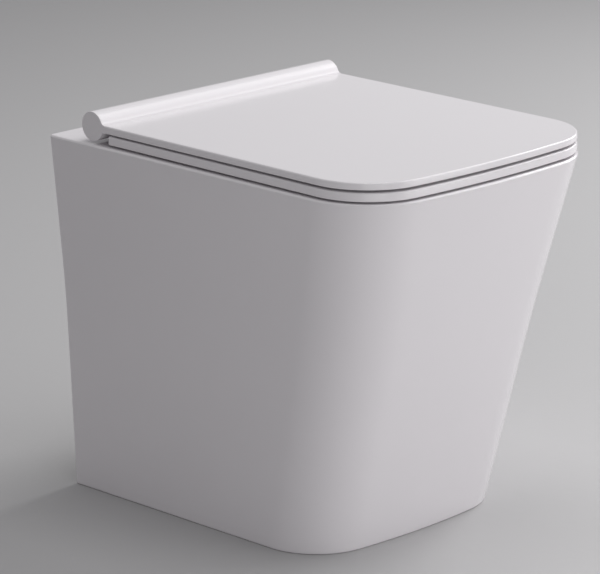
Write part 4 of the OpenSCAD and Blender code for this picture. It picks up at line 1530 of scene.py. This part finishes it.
@dataclass
class Buffers:
    """The rubber buffers under the seat and under the lid."""

    seat: Seat
    lid: Lid
    lid_places: tuple[Pair, ...] = ((150.0, 150.0), (132.0, 395.0))
    rest_gap: float = 0.2

    def pad(self, low: float, high: float, r: float) -> Solid:
        """One round buffer with a domed, dished foot.

        Args:
            low: Its free face.
            high: Its fixed face.
            r: Its radius.

        Returns:
            The buffer on the Z axis.
        """
        profile = [(AXIS_R, low + 0.35), (r * 0.45, low + 0.25), (r * 0.6, low)]
        for a in map(math.radians, (0, 22, 45, 67, 90)):
            profile.append((r - 1 + math.sin(a), low + 1 - math.cos(a)))
        return Solid().lathe([*profile, (r, high - 0.2), (r - 0.2, high), (AXIS_R, high)])

    def fit(self, owner: str, places: Sequence[Pair], low: float, high: float, body: Body) -> None:
        """Makes a set of four between two heights.

        Args:
            owner: What carries it.
            places: Where two of them sit on the right: distances from the middle plane and from the wall.
            low: What they rest on.
            high: What they are fixed to.
            body: The body that they ride on.
        """
        group = Solid()
        for x, y in places:
            for side in SIGNS:
                group.take(self.pad(low + self.rest_gap, high, self.seat.buffer_r).shifted(side * x, -y, 0))
        finished(f"{owner}_buffer_set", group, body, f"{owner}_buffers", BUFFER)

    def build(self) -> None:
        """Makes the two sets of four."""
        seat, lid = self.seat, self.lid
        self.fit("seat", seat.buffers, seat.hinge.deck_z, seat.low + seat.buffer_sink, Body.SEAT)
        self.fit("lid", self.lid_places, seat.low + seat.thick, lid.low + lid.recess, Body.LID)


@dataclass
class FloorFixing:
    """The hidden brackets, clamp screws and washers that hold the pan on the floor."""

    pan: Pan
    hinge: Hinge
    plate: float = 4.0
    depth: float = 60.0
    hole_w: float = 250.0
    hole_l: float = 36.0
    hole_r: float = 4.5
    screw_r: float = 4.0
    nut_r: float = 8.0
    bend_r: float = 6.0
    under: float = 6.0
    standing: float = 24.0
    reach: float = 16.0
    trim: Pair = (22.0, 32.0)
    nut_h: float = 8.0
    head_r: float = 6.4
    head_h: float = 8.0
    key_r: float = 3.4

    @property
    def top(self) -> float:
        """Height of the bracket's upper face."""
        return self.pan.ledge_z - self.pan.ledge_t - self.under

    def bracket(self) -> Solid:
        """The right bracket: foot, upright and flange bent from one plate, with a welded nut.

        Returns:
            The bracket.
        """
        h, t, r, top, mid = self.hinge, self.plate, self.bend_r, self.top, -self.hinge.axis_y
        up, foot, flange = h.hole_x + self.standing, self.hole_w / 2 + self.reach, h.hole_x - self.reach
        front = ((foot, t), (up + t + 2, t), (up + t, t + 2), (up + t, top - r))
        back = ((flange, top), (flange, top - t), (up - 2, top - t), (up, top - t - 2), (up, 0))
        bracket = Solid()
        start = bracket.bm.verts.new((foot, 0, 0))
        vert = bracket.path(start, [(x, y, 0) for x, y in front])
        vert = bracket.arc(vert, (up + t - r, top - r, 0), QUARTER, 8)
        vert = bracket.path(vert, [(x, y, 0) for x, y in back])
        stand = Matrix.Translation((0, mid + self.depth / 2, 0)) @ Matrix.Rotation(QUARTER, 4, "X")
        bracket.raised(start, vert, self.depth).moved(stand).bevel(0.4, 2)
        cut = []
        for side in SIGNS:
            y0, y1 = sorted(mid + side * y for y in self.trim)
            cut.append(Solid().block((flange - 1, y0, t + 4), (up + t + 1, y1, top + 1)))
        for side in SIGNS:
            y = mid + side * self.hole_l / 2
            cut.append(Solid().pin(self.hole_w / 2, y, (-OVER, t + OVER), self.hole_r, COARSE))
        low = top - t - self.nut_h
        cut.append(h.pin(low - OVER, top + OVER, self.screw_r + 0.02))
        return combined(bracket, [h.pin(low, top - t + 0.01, self.nut_r, HEXAGON).bevel(0.5, 2)], cut)

    def screw(self) -> Solid:
        """The right clamp screw: threaded shank and a socket head.

        Returns:
            The screw.
        """
        r, head, tip = self.screw_r, self.pan.ledge_z + 4.5, self.top - self.plate - 14
        top = head + self.head_h
        profile = [
            (AXIS_R, tip), (r - 1, tip), *thread(r, tip + 0.6, head - 14, 1.25, 0.45), (r, head),
            (self.head_r - 0.4, head), (self.head_r, head + 0.4), (self.head_r, top - 0.6),
            (self.head_r - 0.6, top), (AXIS_R, top),
        ]
        socket = Solid().pin(0, 0, (head + 4, top + OVER), self.key_r, HEXAGON)
        return self.hinge.at_hole(combined(Solid().lathe(profile), cut=[socket]))

    def washer(self, low: float, r: float, thick: float) -> Solid:
        """A flat washer with soft edges on the right clamp screw.

        Args:
            low: Its underside.
            r: Its radius.
            thick: Its thickness.

        Returns:
            The washer.
        """
        bore, edge, top = self.screw_r + 0.3, 0.3, low + thick
        profile = [
            (bore + edge, low), (r - edge, low), (r, low + edge), (r, top - edge), (r - edge, top),
            (bore + edge, top), (bore, top - edge), (bore, low + edge),
        ]
        return self.hinge.at_hole(Solid().lathe(profile, MEDIUM))

    def build(self) -> None:
        """Makes both sides of the floor fixing."""
        z = self.pan.ledge_z
        finished_pair("bracket", self.bracket(), "floor_brackets", ZINC)
        finished_pair("clamp_screw", self.screw(), "clamp_screws", ZINC)
        finished_pair("steel_washer", self.washer(z + 2, 12, 2.5), "clamp_washers", ZINC)
        finished_pair("cushion_washer", self.washer(z, 13, 2), "cushion_washers", WASHER)


@dataclass
class FlushSeal:
    """The rubber seal that takes the flush pipe in the horn."""

    pan: Pan
    length: float = 28.0
    pipe_r: float = 22.2
    lip_w: float = 6.0
    lip_t: float = 4.0
    rib_pitch: float = 4.2
    rib: tuple[Pair, ...] = ((0.9, 0.0), (0.0, 0.8), (0.0, 1.6), (1.2, 2.4))

    def build(self) -> None:
        """Makes the seal: a ribbed sleeve with a rounded outer lip."""
        r, bore, lip = self.pan.inlet_bore_r - 0.02, self.pipe_r, self.pan.inlet_bore_r + self.lip_w
        end = self.length
        profile = [
            (bore + 1, 0), (r - 2.5, 0), *ribbed(r, 1.5, end - self.lip_t, self.rib_pitch, self.rib),
            (r, end - 0.6), (r, end), (lip - 0.6, end), (lip, end + 0.6), (lip, end + 2.8),
            (lip - 1.2, end + self.lip_t), (bore + 1.2, end + self.lip_t), (bore, end + 2.8), (bore, 1),
        ]
        place = Matrix.Translation((0, -self.pan.inlet_back - end, self.pan.inlet_z))
        seal = Solid().lathe(profile, FINE).moved(place @ Matrix.Rotation(-QUARTER, 4, "X"))
        finished("flush_seal", seal, Body.PAN, "flush_inlet_seal", SEAL)


# ---------------------------------------------------------------- stage


@dataclass(frozen=True)
class Lamp:
    """A soft square lamp: its name, its place and width in metres, and its power in watts."""

    name: str
    at: Triple
    size: float
    power: float

    def light(self, aim: Point) -> None:
        """Adds the lamp to the scene.

        Args:
            aim: What it points at.
        """
        data = bpy.data.lights.new(self.name, "AREA")
        data.shape = "SQUARE"
        data.size = self.size
        data.energy = self.power
        lamp = bpy.data.objects.new(self.name, data)
        lamp.location = self.at
        lamp.rotation_euler = (Vector(aim) - Vector(self.at)).to_track_quat("-Z", "Y").to_euler()
        bpy.context.scene.collection.objects.link(lamp)


@dataclass
class Studio:
    """The plain floor, the soft lights and the camera."""

    camera_at: Triple = (-2.57526, -2.52376, 1.28809)
    azimuth: float = -45.067
    elevation: float = 16.146
    tilt: float = -0.093
    lens: float = 208.34
    sensor: float = 36.0
    floor_size: float = 30.0
    glow: float = 0.25
    seen_glow: float = 0.45
    glow_colour: Triple = (0.985, 0.98, 1.0)
    aim: Triple = (0.0, 0.0, 0.22)
    lamps: tuple[Lamp, ...] = (
        Lamp("side", (2.77, 0.0, 1.8), 1.6, 46.0),
        Lamp("key", (2.17, -0.88, 2.38), 2.4, 34.0),
        Lamp("top", (0.0, 0.0, 3.4), 1.6, 25.0),
        Lamp("front", (0.62, -1.46, 0.48), 0.9, 5.8),
        Lamp("fill", (-0.85, -1.21, 0.47), 0.9, 3.3),
    )

    def floor(self) -> None:
        """Makes the pale floor, which keeps the toilet's shadow."""
        plane = Solid()
        bmesh.ops.create_grid(plane.bm, x_segments=1, y_segments=1, size=self.floor_size)
        floor = plane.placed("floor")
        floor.data.materials.append(FLOOR.material())

    def world(self) -> None:
        """Sets the even light from all round, and what the camera and mirrors see of it."""
        made = bpy.data.worlds.new("studio")
        made.use_nodes = True
        made.node_tree.nodes.clear()
        kit = NodeKit(made.node_tree)
        path = kit.add("ShaderNodeLightPath").outputs
        direct = kit.math("MAXIMUM", path["Is Camera Ray"], path["Is Transmission Ray"])
        shown = kit.math("MAXIMUM", direct, path["Is Glossy Ray"])
        level = kit.math("MULTIPLY_ADD", shown, self.seen_glow - self.glow, self.glow)
        back = kit.add("ShaderNodeBackground", {"Color": (*self.glow_colour, 1), "Strength": level})
        kit.add("ShaderNodeOutputWorld", {"Surface": back.outputs[0]})
        bpy.context.scene.world = made

    def camera(self) -> None:
        """Makes the camera at the photograph's viewpoint."""
        data = bpy.data.cameras.new("camera")
        data.lens = self.lens
        data.sensor_width = self.sensor
        camera = bpy.data.objects.new("camera", data)
        place = Matrix.Translation(self.camera_at)
        for angle, axis in ((self.azimuth, "Z"), (90 - self.elevation, "X"), (self.tilt, "Z")):
            place @= Matrix.Rotation(math.radians(angle), 4, axis)
        camera.matrix_world = place
        bpy.context.scene.collection.objects.link(camera)
        bpy.context.scene.camera = camera

    def build(self) -> None:
        """Sets the stage."""
        self.camera()
        self.floor()
        self.world()
        for lamp in self.lamps:
            lamp.light(self.aim)
        bpy.context.scene.view_settings.view_transform = "Standard"


def main() -> None:
    """Builds the toilet and its stage, and reports each piece."""
    LOG.setLevel(logging.INFO)
    LOG.addHandler(logging.StreamHandler(sys.stdout))
    LOG.propagate = False
    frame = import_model()
    Studio().build()
    hinge, cover = Hinge(), Cover()
    pan, seat, lid = Pan(hinge), Seat(hinge, cover), Lid(hinge, cover)
    pan.build()
    seat.build()
    lid.build()
    HingeSet(hinge).build(frame["nodes"])
    Buffers(seat, lid).build()
    FloorFixing(pan, hinge).build()
    FlushSeal(pan).build()


if __name__ == "__main__":
    main()
